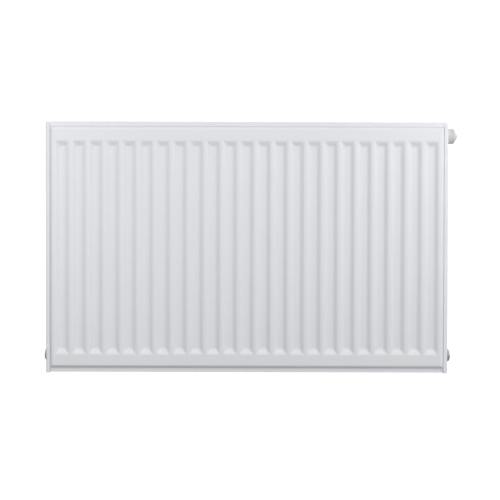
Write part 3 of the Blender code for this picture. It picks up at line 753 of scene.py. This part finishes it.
def folded_strip(name, node, outline, pull, thickness, bend, finish, rim=0.0):
    """A strip bent along an outline, with rounded bends, pulled out along a vector."""
    shape = bmesh.new()
    points = [shape.verts.new(point) for point in outline]
    folds = [shape.edges.new(pair) for pair in zip(points, points[1:])]
    pulled = bmesh.ops.extrude_edge_only(shape, edges=folds)["geom"]
    moved = [item for item in pulled if isinstance(item, bmesh.types.BMVert)]
    bmesh.ops.translate(shape, verts=moved, vec=pull)
    bevel_edges(shape, folded_edges(shape), bend, 4)
    modifiers = [shell(thickness, offset=0.0)]
    if rim:
        modifiers.append(("BEVEL", {"width": rim, "segments": 2, "limit_method": "ANGLE"}))
    return weigh_normals(piece(name, shape, finish, node, modifiers))


def convector(name, node, near_y, far_y):
    lowest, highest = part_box(node)
    outline = []
    for fin in range(FINS):
        centre = (fin + 1.5) * PITCH - WIDTH / 2
        outline += [(centre - FIN_NEAR_FLAT / 2, near_y), (centre + FIN_NEAR_FLAT / 2, near_y)]
        if fin < FINS - 1:
            valley = centre + PITCH / 2
            outline += [(valley - FIN_FAR_FLAT / 2, far_y), (valley + FIN_FAR_FLAT / 2, far_y)]
    points = [(x, y, lowest.z) for x, y in outline]
    pull = (0, 0, highest.z - lowest.z)
    folded_strip(name, node, points, pull, FIN_SHEET, FIN_BEND, primer)


def convectors():
    inset = FIN_SHEET / 2
    lowest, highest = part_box("front_convector")
    convector("front_fins", "front_convector", lowest.y + inset, highest.y - inset)
    lowest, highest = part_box("rear_convector")
    convector("rear_fins", "rear_convector", highest.y - inset, lowest.y + inset)


def hanging_lug(name, node):
    lowest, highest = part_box(node)
    centre = (lowest.x + highest.x) / 2
    foot_y, bridge_y = lowest.y + LUG_SHEET / 2, highest.y - LUG_SHEET / 2
    leg = (PITCH - LUG_FOOT) / 2
    outline = [
        (lowest.x, foot_y),
        (centre - leg, foot_y),
        (centre - leg, bridge_y),
        (centre + leg, bridge_y),
        (centre + leg, foot_y),
        (highest.x, foot_y),
    ]
    points = [(x, y, lowest.z) for x, y in outline]
    pull = (0, 0, highest.z - lowest.z)
    folded_strip(name, node, points, pull, LUG_SHEET, LUG_BEND, pipe_coat, rim=LUG_RIM)


def flange_clip(name, node, along_x):
    """A channel over a panel's flange, open towards the panel."""
    lowest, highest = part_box(node)
    inset = CLIP_SHEET / 2
    near, far = lowest.y + inset, highest.y - inset
    if along_x:
        base, mouth = highest.z - inset, lowest.z
        points = [(lowest.x, near, mouth), (lowest.x, near, base), (lowest.x, far, base)]
        points.append((lowest.x, far, mouth))
        pull = (highest.x - lowest.x, 0, 0)
    else:
        outward = lowest.x > 0
        base = highest.x - inset if outward else lowest.x + inset
        mouth = lowest.x if outward else highest.x
        points = [(mouth, near, lowest.z), (base, near, lowest.z), (base, far, lowest.z)]
        points.append((mouth, far, lowest.z))
        pull = (0, 0, highest.z - lowest.z)
    folded_strip(name, node, points, pull, CLIP_SHEET, CLIP_BEND, spring_steel, rim=CLIP_RIM)


convectors()
for level in ("bottom", "top"):
    for hand in HANDS:
        hanging_lug(f"{level}_{hand}_lug", f"hanging_lug_{level}_{hand}")
for panel in ("front", "rear"):
    for hand in HANDS:
        flange_clip(f"grille_spring_clip_{panel}_{hand}", f"grille_clip_{panel}_{hand}", True)
        for level in ("bottom", "top"):
            node = f"cover_clip_{panel}_{level}_{hand}"
            flange_clip(f"cover_spring_clip_{panel}_{level}_{hand}", node, False)


# Covers


def slot_cell(shape, x, y, width, depth, z):
    """One rectangle of sheet with a round-ended slot through its middle."""
    corners = [
        shape.verts.new((x + across * width / 2, y + along * depth / 2, z))
        for across, along in ((-1, -1), (1, -1), (1, 1), (-1, 1))
    ]
    outer = [shape.edges.new((corners[index - 1], corners[index])) for index in range(4)]
    place = Matrix.Translation((x, y, z))
    half_step = Matrix.Rotation(math.pi / SLOT_SIDES, 4, "Z")
    round_end = bmesh.ops.create_circle(
        shape, segments=SLOT_SIDES, radius=SLOT_WIDTH / 2, matrix=place @ half_step
    )["verts"]
    reach = (SLOT_LENGTH - SLOT_WIDTH) / 2
    for vert in round_end:
        vert.co.y += math.copysign(reach, vert.co.y - y)
    inner = list({edge for vert in round_end for edge in vert.link_edges})
    bmesh.ops.triangle_fill(shape, edges=outer + inner, use_beauty=True, normal=(0, 0, 1))


def slotted_grille():
    lowest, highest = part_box("top_grille")
    shape = bmesh.new()
    row_depth = 2 * SLOT_ROW_OFFSET
    for column in range(SLOT_COLUMNS):
        x = (column - (SLOT_COLUMNS - 1) / 2) * SLOT_PITCH
        for side in (-1, 1):
            slot_cell(shape, x, MID_Y + side * SLOT_ROW_OFFSET, SLOT_PITCH, row_depth, highest.z)
    bmesh.ops.remove_doubles(shape, verts=shape.verts[:], dist=0.00002)
    end = SLOT_COLUMNS * SLOT_PITCH / 2

    def pull(test, vector):
        edges = [
            edge for edge in shape.edges if edge.is_boundary and all(map(test, edge.verts))
        ]
        made = bmesh.ops.extrude_edge_only(shape, edges=edges)["geom"]
        moved = [item for item in made if isinstance(item, bmesh.types.BMVert)]
        bmesh.ops.translate(shape, verts=moved, vec=vector)

    tiny = 0.00005
    pull(lambda vert: vert.co.x > end - tiny, (highest.x - end, 0, 0))
    pull(lambda vert: vert.co.x < tiny - end, (lowest.x + end, 0, 0))
    front_row, rear_row = MID_Y - row_depth, MID_Y + row_depth
    pull(lambda vert: vert.co.y < front_row + tiny, (0, lowest.y - front_row, 0))
    pull(lambda vert: vert.co.y > rear_row - tiny, (0, highest.y - rear_row, 0))
    drop = lowest.z - highest.z
    pull(lambda vert: abs(vert.co.y - lowest.y) < tiny, (0, 0, drop))
    pull(lambda vert: abs(vert.co.y - highest.y) < tiny, (0, 0, drop))
    bmesh.ops.recalc_face_normals(shape, faces=shape.faces[:])
    if max(shape.faces, key=lambda face: face.calc_area()).normal.z < 0:
        bmesh.ops.reverse_faces(shape, faces=shape.faces[:])
    bevel_edges(shape, folded_edges(shape), LIP_BEND, 5)
    weigh_normals(piece("slotted_grille", shape, cover_coat, "top_grille", [shell(COVER_SHEET)]))


def side_cover(name, node, side, holes):
    """A pressed tray over one end, with rounded bends and a pierced hole for each fitting."""
    lowest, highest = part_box(node)
    shape = bmesh.new()
    size = highest - lowest
    place = Matrix.Translation((lowest + highest) / 2) @ Matrix.Diagonal((*size, 1))
    bmesh.ops.create_cube(shape, size=1, matrix=place)
    open_face = [face for face in shape.faces if face.normal.x * side < -0.5]
    bmesh.ops.delete(shape, geom=open_face, context="FACES")
    across = [
        edge
        for edge in shape.edges
        if not edge.is_boundary and abs(edge.verts[0].co.y - edge.verts[1].co.y) > COVER_CORNER
    ]
    bevel_edges(shape, [edge for edge in across if edge.verts[0].co.z > GAP], COVER_CORNER, 6)
    bends = [
        edge for edge in folded_edges(shape, SQUARE_FOLD) if any(vert.co.z > GAP for vert in edge.verts)
    ]
    bevel_edges(shape, bends, COVER_BEND, 6)
    made = piece(name, shape, cover_coat, node, [shell(COVER_SHEET)])
    inside, outside = (side * (WIDTH / 2 + reach) for reach in (-PUNCH_REACH, PUNCH_REACH))
    punches = [(at(inside, z), at(outside, z), radius, HOLE_SIDES) for z, radius in holes]
    combine(made, punches, "DIFFERENCE")
    bake_modifiers(made)
    shade(made, cover_coat)
    weigh_normals(made)


slotted_grille()
for hand, side in HANDS.items():
    holes = [(HUB_LOW, PLUG_HOLE_RADIUS), (HUB_HIGH, CAP_HOLE_RADIUS)]
    side_cover(f"{hand}_end_cover", f"side_cover_{hand}", side, holes)


# Turned and drilled fittings


def spin_profile(shape, profile, steps, closed=False):
    """Turns (distance along X, radius) points about the X axis. A closed profile makes a ring."""
    points = [shape.verts.new((along, 0, radius)) for along, radius in profile]
    edges = [shape.edges.new(pair) for pair in zip(points, points[1:])]
    if closed:
        edges.append(shape.edges.new((points[-1], points[0])))
    bmesh.ops.spin(
        shape,
        geom=points + edges,
        cent=(0, 0, 0),
        axis=(1, 0, 0),
        dvec=(0, 0, 0),
        angle=math.tau,
        steps=steps,
        use_merge=True,
        use_duplicate=False,
    )
    bmesh.ops.remove_doubles(shape, verts=shape.verts[:], dist=0.000005)
    bmesh.ops.recalc_face_normals(shape, faces=shape.faces[:])


def turned_shape(profile, height, steps=TURN_STEPS, closed=False):
    """A solid turned about the line along X at mid-depth and the given height."""
    shape = bmesh.new()
    spin_profile(shape, profile, steps, closed)
    bmesh.ops.translate(shape, verts=shape.verts[:], vec=at(0, height))
    return shape


def press_ribs(shape, count, depth, ends, least):
    """Leaves ribs on a skirt, between two places along X, by sinking what lies between them."""
    for vert in shape.verts:
        across = math.hypot(vert.co.y, vert.co.z)
        if ends[0] < vert.co.x < ends[1] and across > least:
            step = round(math.atan2(vert.co.y, vert.co.z) / math.tau * count * 4) % 4
            vert.co.yz *= 1 - (depth if step in (1, 2) else 0) / across


def weld_bead(shape, centre, axis, radius):
    """A rounded bead, slightly uneven, round a tube's joint. axis is X, Y or Z."""
    rounds = [math.tau * step / BEAD_SIDES for step in range(BEAD_SIDES)]
    profile = [(BEAD_RADIUS * math.cos(a), radius + BEAD_RADIUS * math.sin(a)) for a in rounds]
    bead = bmesh.new()
    spin_profile(bead, profile, TURN_STEPS, closed=True)
    for vert in bead.verts:
        around = math.atan2(vert.co.y, vert.co.z)
        vert.co.x += BEAD_RADIUS * 0.16 * math.sin(around * 19)
        vert.co.yz *= 1 + 0.012 * math.sin(around * 27)
    turn = {"X": (0, "X"), "Y": (math.pi / 2, "Z"), "Z": (math.pi / 2, "Y")}[axis]
    matrix = Matrix.Translation(centre) @ Matrix.Rotation(turn[0], 4, turn[1])
    bmesh.ops.transform(bead, matrix=matrix, verts=bead.verts[:])
    mesh = bpy.data.meshes.new("bead")
    bead.to_mesh(mesh)
    bead.free()
    shape.from_mesh(mesh)
    bpy.data.meshes.remove(mesh)


def finish_baked(made, finish, node, beads=()):
    """Bakes an object's modifiers, adds its weld beads, and makes it a finished piece."""
    name = made.name
    bake_modifiers(made)
    shape = bmesh.new()
    shape.from_mesh(made.data)
    for bead in beads:
        weld_bead(shape, *bead)
    bpy.data.objects.remove(made)
    piece(name, shape, finish, node)


def drilled(name, node, solids, bores, beads=()):
    """Joined rods with bores cut out of them, and weld beads where the tubes meet the sheets."""
    shape = bmesh.new()
    add_rod(shape, *solids[0])
    made = place_object(name, shape)
    combine(made, solids[1:], "UNION")
    combine(made, bores, "DIFFERENCE")
    finish_baked(made, pipe_coat, node, beads)


def cross_tube(x, z):
    """The tube between the panels, its bore, and the beads at its two ends."""
    lowest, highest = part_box("corner_tee_top_left")
    front, rear = lowest.y, highest.y
    tube = ((x, front, z), (x, rear, z), TEE_RADIUS)
    bore = ((x, front - BORE_OVERRUN, z), (x, rear + BORE_OVERRUN, z), PORT_RADIUS)
    beads = [
        ((x, front + BEAD_INSET, z), "Y", TEE_RADIUS),
        ((x, rear - BEAD_INSET, z), "Y", TEE_RADIUS),
    ]
    return tube, bore, beads


def corner_tee(name, node, side, z):
    tube, bore, beads = cross_tube(side * TEE_X, z)
    middle, face, inside, beyond = (
        at(side * x, z)
        for x in (TEE_X, TEE_FACE_X, TEE_FACE_X - SOCKET_DEPTH, TEE_FACE_X + BORE_OVERRUN)
    )
    solids = [tube, (middle, face, BOSS_RADIUS)]
    drilled(name, node, solids, [bore, (inside, beyond, SOCKET_RADIUS)], beads)


def connection_block():
    tube, bore, beads = cross_tube(TEE_X, HUB_LOW)
    socket_top = HUB_LOW + BOSS_RADIUS
    below, above = STUB_FACE_Z - BORE_OVERRUN, socket_top + BORE_OVERRUN
    tee, supply = at(TEE_X, HUB_LOW), at(SUPPLY_X, HUB_LOW)
    inside, beyond = TEE_FACE_X - SOCKET_DEPTH, TEE_FACE_X + BORE_OVERRUN
    solids = [
        tube,
        (tee, at(TEE_FACE_X, HUB_LOW), BOSS_RADIUS),
        (at(TEE_X, STUB_FACE_Z), tee, STUB_RADIUS),
        (supply, tee, BRIDGE_RADIUS),
        (at(SUPPLY_X, STUB_FACE_Z), at(SUPPLY_X, socket_top), STUB_RADIUS),
    ]
    bores = [
        bore,
        (at(inside, HUB_LOW), at(beyond, HUB_LOW), SOCKET_RADIUS),
        (at(TEE_X, below), tee, RETURN_RADIUS),
        (at(SUPPLY_X, below), at(SUPPLY_X, above), RISER_RADIUS - RISER_WALL),
        (at(SUPPLY_X, socket_top - RISER_SOCKET_DEPTH), at(SUPPLY_X, above), RISER_RADIUS + GAP),
    ]
    beads.append((at(SUPPLY_X, socket_top), "Z", RISER_RADIUS + BEAD_INSET))
    beads.append((at(SUPPLY_X + STUB_RADIUS, HUB_LOW), "X", BRIDGE_RADIUS))
    drilled("connection_tee", "connection_block", solids, bores, beads)


def valve_housing():
    tube, bore, beads = cross_tube(TEE_X, HUB_HIGH)
    sleeve_low = HUB_HIGH - BOSS_RADIUS - RISER_SLEEVE_DROP
    below = at(SUPPLY_X, sleeve_low - BORE_OVERRUN)
    supply = at(SUPPLY_X, HUB_HIGH)
    solids = [
        (at(HOUSING_END_X, HUB_HIGH), at(TEE_FACE_X, HUB_HIGH), BOSS_RADIUS),
        tube,
        (at(SUPPLY_X, sleeve_low), supply, RISER_SLEEVE_RADIUS),
    ]
    seat_start, seat_end = (at(x + CUT_OVERLAP, HUB_HIGH) for x in (SUPPLY_X, SEAT_X))
    bores = [
        bore,
        (at(SEAT_X, HUB_HIGH), at(TEE_FACE_X + BORE_OVERRUN, HUB_HIGH), SOCKET_RADIUS),
        (supply, at(SEAT_X - SEAT_LAND, HUB_HIGH), INLET_RADIUS),
        (seat_start, seat_end, SEAT_RADIUS),
        (below, at(SUPPLY_X, sleeve_low + RISER_SOCKET_DEPTH), RISER_RADIUS + GAP),
        (below, at(SUPPLY_X, HUB_HIGH + CUT_OVERLAP), RISER_RADIUS - RISER_WALL),
    ]
    beads.append((at(SUPPLY_X, sleeve_low), "Z", RISER_RADIUS + BEAD_INSET))
    drilled("valve_tee", "valve_housing", solids, bores, beads)


def riser():
    lowest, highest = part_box("riser_pipe")
    tube = (at(SUPPLY_X, lowest.z), at(SUPPLY_X, highest.z), RISER_RADIUS)
    bore = (at(SUPPLY_X, 0), at(SUPPLY_X, HEIGHT), RISER_RADIUS - RISER_WALL)
    drilled("riser_tube", "riser_pipe", [tube], [bore])


corner_tee("top_left_tee", "corner_tee_top_left", -1, HUB_HIGH)
corner_tee("bottom_left_tee", "corner_tee_bottom_left", -1, HUB_LOW)
connection_block()
valve_housing()
riser()


# Valve cap


def ribbed_cap():
    """A moulded cap with a smooth rim, a ribbed skirt and a stepped cone end."""
    lowest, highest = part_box("valve_cap")
    radius = (highest.z - lowest.z) / 2
    start, end = lowest.x, highest.x
    shoulder = end - CAP_CONE
    inner = BARREL_RADIUS + GAP
    pin_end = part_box("valve_pin")[1].x
    socket_depth, socket_radius = CAP_SOCKET
    profile = [
        (end, 0),
        *((end - back, across) for back, across in CAP_NOSE),
        *((shoulder + along, radius + more) for along, more in CAP_SHOULDER),
        *((start + along, radius + more) for along, more in CAP_RIM),
        (start, inner),
        (pin_end - socket_depth, inner),
        (pin_end - socket_depth, socket_radius),
        (pin_end + GAP, socket_radius),
        (pin_end + GAP, 0),
    ]
    shape = bmesh.new()
    spin_profile(shape, profile, CAP_RIBS * 4)
    skirt = (start + CAP_RIB_ENDS[0], shoulder - CAP_RIB_ENDS[1])
    press_ribs(shape, CAP_RIBS, CAP_RIB_DEPTH, skirt, inner + CAP_RIB_DEPTH)
    bmesh.ops.translate(shape, verts=shape.verts[:], vec=at(0, HUB_HIGH))
    piece("ribbed_cap", shape, cap_plastic, "valve_cap")


def valve_insert():
    """The turned insert with its hexagon collar."""
    lowest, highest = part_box("valve_insert_body")
    profile = [
        (highest.x, CHAMBER_RADIUS),
        (highest.x, BARREL_RADIUS - BARREL_EDGE),
        (highest.x - BARREL_EDGE, BARREL_RADIUS),
        (HEAD_X, BARREL_RADIUS),
        (HEAD_X, THREAD_RADIUS),
        (lowest.x, THREAD_RADIUS),
        (lowest.x, PIN_BORE_RADIUS),
        (CHAMBER_X, PIN_BORE_RADIUS),
        (CHAMBER_X, CHAMBER_RADIUS),
    ]
    made = place_object("hexagon_insert", turned_shape(profile, HUB_HIGH, closed=True))
    collar_start, collar_end = at(HEAD_X + GAP, HUB_HIGH), at(HEAD_X + COLLAR_LENGTH, HUB_HIGH)
    beyond = at(WIDTH, HUB_HIGH)
    chamber = (at(CHAMBER_X, HUB_HIGH), beyond, CHAMBER_RADIUS)
    pin_bore = (at(SEAT_X, HUB_HIGH), beyond, PIN_BORE_RADIUS)
    combine(made, [(collar_start, collar_end, COLLAR_HEX_RADIUS, 6)], "UNION")
    combine(made, [chamber, pin_bore], "DIFFERENCE")
    finish_baked(made, nickel_high, "valve_insert_body")


# Plugs and air vent


def dome_arc(end, radius, dome, steps=7):
    """The rounded rim of a plug's head, as profile points."""
    angles = [math.pi / 2 * step / steps for step in range(steps + 1)]
    return [(end - dome + dome * math.cos(a), radius - dome + dome * math.sin(a)) for a in angles]


def threaded(start, end, radius, pitch=0.0018, depth=0.0008):
    """Crests and roots of a thread between two places, as profile points."""
    turns = int(abs(start - end) / pitch)
    points = [(start, radius - depth)]
    for turn in range(turns):
        x = start - turn * pitch
        points += [(x - 0.30 * pitch, radius), (x - 0.60 * pitch, radius)]
        points.append((x - 0.95 * pitch, radius - depth))
    return points


def shank(tip):
    """The threaded shank behind a head, from its relief to its chamfered tip."""
    thread = threaded(HEAD_X - THREAD_RELIEF, tip + THREAD_CHAMFER, THREAD_RADIUS)
    return [*thread, (tip, THREAD_RADIUS - THREAD_CHAMFER)]


def blanking_plug(name, node, side):
    """A domed head with a hexagon socket, and the threaded shank behind it."""
    lowest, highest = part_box(node)
    end = highest.x if side > 0 else -lowest.x
    start = lowest.x if side > 0 else -highest.x
    radius = (highest.z - lowest.z) / 2
    profile = [(end, 0), *dome_arc(end, radius, PLUG_DOME)]
    profile += [(HEAD_X + PLUG_EDGE, radius), (HEAD_X, radius - PLUG_EDGE)]
    profile += [*shank(start), (start, 0)]
    made = place_object(name, turned_shape([(side * x, across) for x, across in profile], HUB_LOW))
    bottom, mouth, lead_in = (
        at(side * (end + reach), HUB_LOW) for reach in (-HEX_DEPTH, HEX_DEPTH, -HEX_LEAD_IN)
    )
    combine(made, [(bottom, mouth, HEX_RADIUS, 6), (lead_in, mouth, HEX_RADIUS)], "DIFFERENCE")
    finish_baked(made, nickel_low, node)


def vent_fitting():
    """The vent's body: the hub that the outlet ring turns on, a flange and a threaded shank."""
    lowest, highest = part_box("vent_plug_body")
    bore = BLEED_RADIUS + GAP
    flange_end = -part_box("vent_outlet_ring")[1].x - GAP
    radius = (highest.z - lowest.z) / 2
    profile = [
        (-lowest.x, bore),
        (-lowest.x, HUB_LIP_RADIUS),
        (HUB_LIP_X, HUB_LIP_RADIUS),
        (HUB_LIP_X, HUB_RADIUS),
        (flange_end, HUB_RADIUS),
        (flange_end, radius - VENT_EDGE),
        (flange_end - VENT_EDGE, radius),
        (HEAD_X + VENT_EDGE, radius),
        (HEAD_X, radius - VENT_EDGE),
        *shank(-highest.x),
        (-highest.x, bore),
    ]
    shape = turned_shape([(-x, across) for x, across in profile], HUB_HIGH, closed=True)
    piece("vent_body", shape, nickel_high, "vent_plug_body")


def vent_outlet():
    """The outlet ring: finger ribs round it and a spout below."""
    lowest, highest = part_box("vent_outlet_ring")
    start, end = -highest.x, -lowest.x
    radius = highest.z - HUB_HIGH
    edge = VENT_EDGE
    profile = [
        (end, HUB_RADIUS + GAP),
        (end, radius - edge),
        (end - edge, radius),
        (end - 2 * edge, radius),
        (start + 2 * edge, radius),
        (start + edge, radius),
        (start, radius - edge),
        (start, HUB_RADIUS + GAP),
    ]
    shape = bmesh.new()
    spin_profile(shape, [(-x, across) for x, across in profile], VENT_RIBS * 4, closed=True)
    skirt = (1.9 * edge - end, -start - 1.9 * edge)
    press_ribs(shape, VENT_RIBS, VENT_RIB_DEPTH, skirt, radius - edge / 2)
    bmesh.ops.translate(shape, verts=shape.verts[:], vec=at(0, HUB_HIGH))
    made = place_object("vent_outlet", shape)
    middle = (lowest.x + highest.x) / 2
    root, tip = at(middle, HUB_HIGH - radius + SPOUT_ROOT), at(middle, lowest.z)
    inside, past = at(middle, HUB_HIGH - HUB_RADIUS), at(middle, lowest.z - SPOUT_ROOT)
    combine(made, [(root, tip, SPOUT_RADIUS, 32)], "UNION")
    combine(made, [(inside, past, SPOUT_BORE_RADIUS, 24)], "DIFFERENCE")
    finish_baked(made, vent_plastic, "vent_outlet_ring")


def bleed_screw():
    """The slotted screw with a cone tip, which opens the vent."""
    lowest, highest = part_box("vent_bleed_screw")
    head, tip = lowest.x, highest.x
    radius = (highest.z - lowest.z) / 2
    neck = head + BLEED_HEAD
    shoulder = tip - BLEED_TIP
    thread = threaded(-neck - 2 * BLEED_NECK, -shoulder, radius, pitch=0.0009, depth=0.0004)
    profile = [
        (head, 0),
        (head, radius - BLEED_EDGE),
        (head + BLEED_EDGE, radius),
        (neck, radius),
        (neck + BLEED_NECK, radius - BLEED_NECK),
        *((-x, across) for x, across in thread),
        (shoulder, radius - BLEED_NECK),
        (tip, BLEED_TIP_RADIUS),
        (tip, 0),
    ]
    made = place_object("slotted_bleed_screw", turned_shape(profile, HUB_HIGH, steps=40))
    slot = bmesh.new()
    place = Matrix.Translation(at(head, HUB_HIGH)) @ Matrix.Diagonal((*BLEED_SLOT, 1))
    bmesh.ops.create_cube(slot, size=1, matrix=place)
    modifier = made.modifiers.new("slot", "BOOLEAN")
    modifier.operation = "DIFFERENCE"
    modifier.solver = "EXACT"
    modifier.object = place_object("tool", slot)
    finish_baked(made, turned_brass, "vent_bleed_screw")


ribbed_cap()
valve_insert()
for hand, side in HANDS.items():
    blanking_plug(f"{hand}_blanking_plug", f"blanking_plug_{hand}", side)
vent_fitting()
vent_outlet()
bleed_screw()


# Pieces that keep their own shape


def carried(node, finish):
    """Gives a CAD node its finish."""
    made = frame["nodes"][node]
    shade(made, finish)


for node in ("valve_o_ring", "plug_o_ring_left", "plug_o_ring_right", "vent_o_ring", "valve_disc"):
    carried(node, rubber)
for node in ("valve_pin", "valve_gland_nut"):
    carried(node, nickel_high)
carried("valve_spring", spring_steel)
carried("presetting_ring", dial_plastic)


# Stage


def stage_floor():
    """A pale floor that reads almost white and still takes a soft shadow."""
    shape = bmesh.new()
    bmesh.ops.create_grid(
        shape, x_segments=1, y_segments=1, size=FLOOR_SIZE, matrix=Matrix.Translation((0, 0, FLOOR_Z))
    )
    floor = place_object("pale_floor", shape)
    made, tree, shader = new_material("pale_floor", 0.9)
    tone = place_group(tree, drift, Scale=0.7, Amount=0.3)
    tree.links.new(
        mix_colours(tree, tone, (0.38, 0.38, 0.38), (0.36, 0.36, 0.36)),
        shader.inputs["Base Color"],
    )
    seen = tree.nodes.new("ShaderNodeLightPath").outputs["Is Camera Ray"]
    tree.links.new(math_node(tree, "MULTIPLY", seen, FLOOR_GLOW), shader.inputs["Emission Strength"])
    shader.inputs["Emission Color"].default_value = (1, 1, 1, 1)
    floor.data.materials.append(made)
    floor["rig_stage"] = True


def soft_light(name, place, target):
    """A rectangular lamp aimed at a point, which neither the camera nor a reflection shows."""
    light = bpy.data.lights.new(name, "AREA")
    light.shape = "RECTANGLE"
    light.size, light.size_y = STRIP_SIZE
    light.energy = STRIP_POWER
    lamp = bpy.data.objects.new(name, light)
    bpy.context.scene.collection.objects.link(lamp)
    lamp.location = place
    aim = Vector(target) - Vector(place)
    lamp.rotation_euler = aim.to_track_quat("-Z", "Y").to_euler()
    lamp.visible_camera = False
    lamp.visible_glossy = False


def studio():
    """White to the camera, and to everything else a soft tent, brighter to the right and behind."""
    world = bpy.data.worlds.new("studio")
    bpy.context.scene.world = world
    world.use_nodes = True
    tree = world.node_tree
    background = tree.nodes["Background"]
    direction = components(tree, tree.nodes.new("ShaderNodeTexCoord").outputs["Generated"])
    rising = math_node(tree, "MULTIPLY", direction["Z"], TENT_RISE)
    across = math_node(tree, "MULTIPLY", direction["X"], TENT_SIDE)
    behind = math_node(tree, "MULTIPLY", direction["Y"], TENT_BEHIND, clamp=True)
    tent = math_node(tree, "ADD", math_node(tree, "ADD", rising, across), TENT_BASE)
    tent = math_node(tree, "ADD", tent, behind)
    path = tree.nodes.new("ShaderNodeLightPath").outputs
    mirrored = math_node(tree, "MULTIPLY", path["Is Glossy Ray"], TENT_IN_GLOSS)
    lit = math_node(tree, "MAXIMUM", tent, math_node(tree, "MAXIMUM", mirrored, TENT_LEAST))
    strength = math_node(tree, "MAXIMUM", lit, path["Is Camera Ray"])
    tree.links.new(strength, background.inputs["Strength"])
    background.inputs["Color"].default_value = (1, 1, 1, 1)
    centre = (0, MID_Y, HEIGHT / 2)
    for hand, side in HANDS.items():
        soft_light(f"{hand}_strip", (side * STRIP_X, STRIP_Y, STRIP_Z), centre)
    bpy.context.scene.view_settings.view_transform = "Standard"


def camera():
    made = bpy.data.objects.new("camera", bpy.data.cameras.new("camera"))
    bpy.context.scene.collection.objects.link(made)
    made.location = (CAMERA_X, FRONT_Y - CAMERA_DISTANCE, CAMERA_Z)
    pitch, roll = math.radians(90 - CAMERA_PITCH), math.radians(CAMERA_ROLL)
    made.rotation_euler = (pitch, roll, 0)
    made.data.lens = CAMERA_LENS
    made.data.shift_x, made.data.shift_y = CAMERA_SHIFT
    bpy.context.scene.camera = made


stage_floor()
studio()
camera()

boxes = {"cad": cad_box, "visual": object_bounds()}
{name: [list(corner) for corner in box] for name, box in boxes.items()}
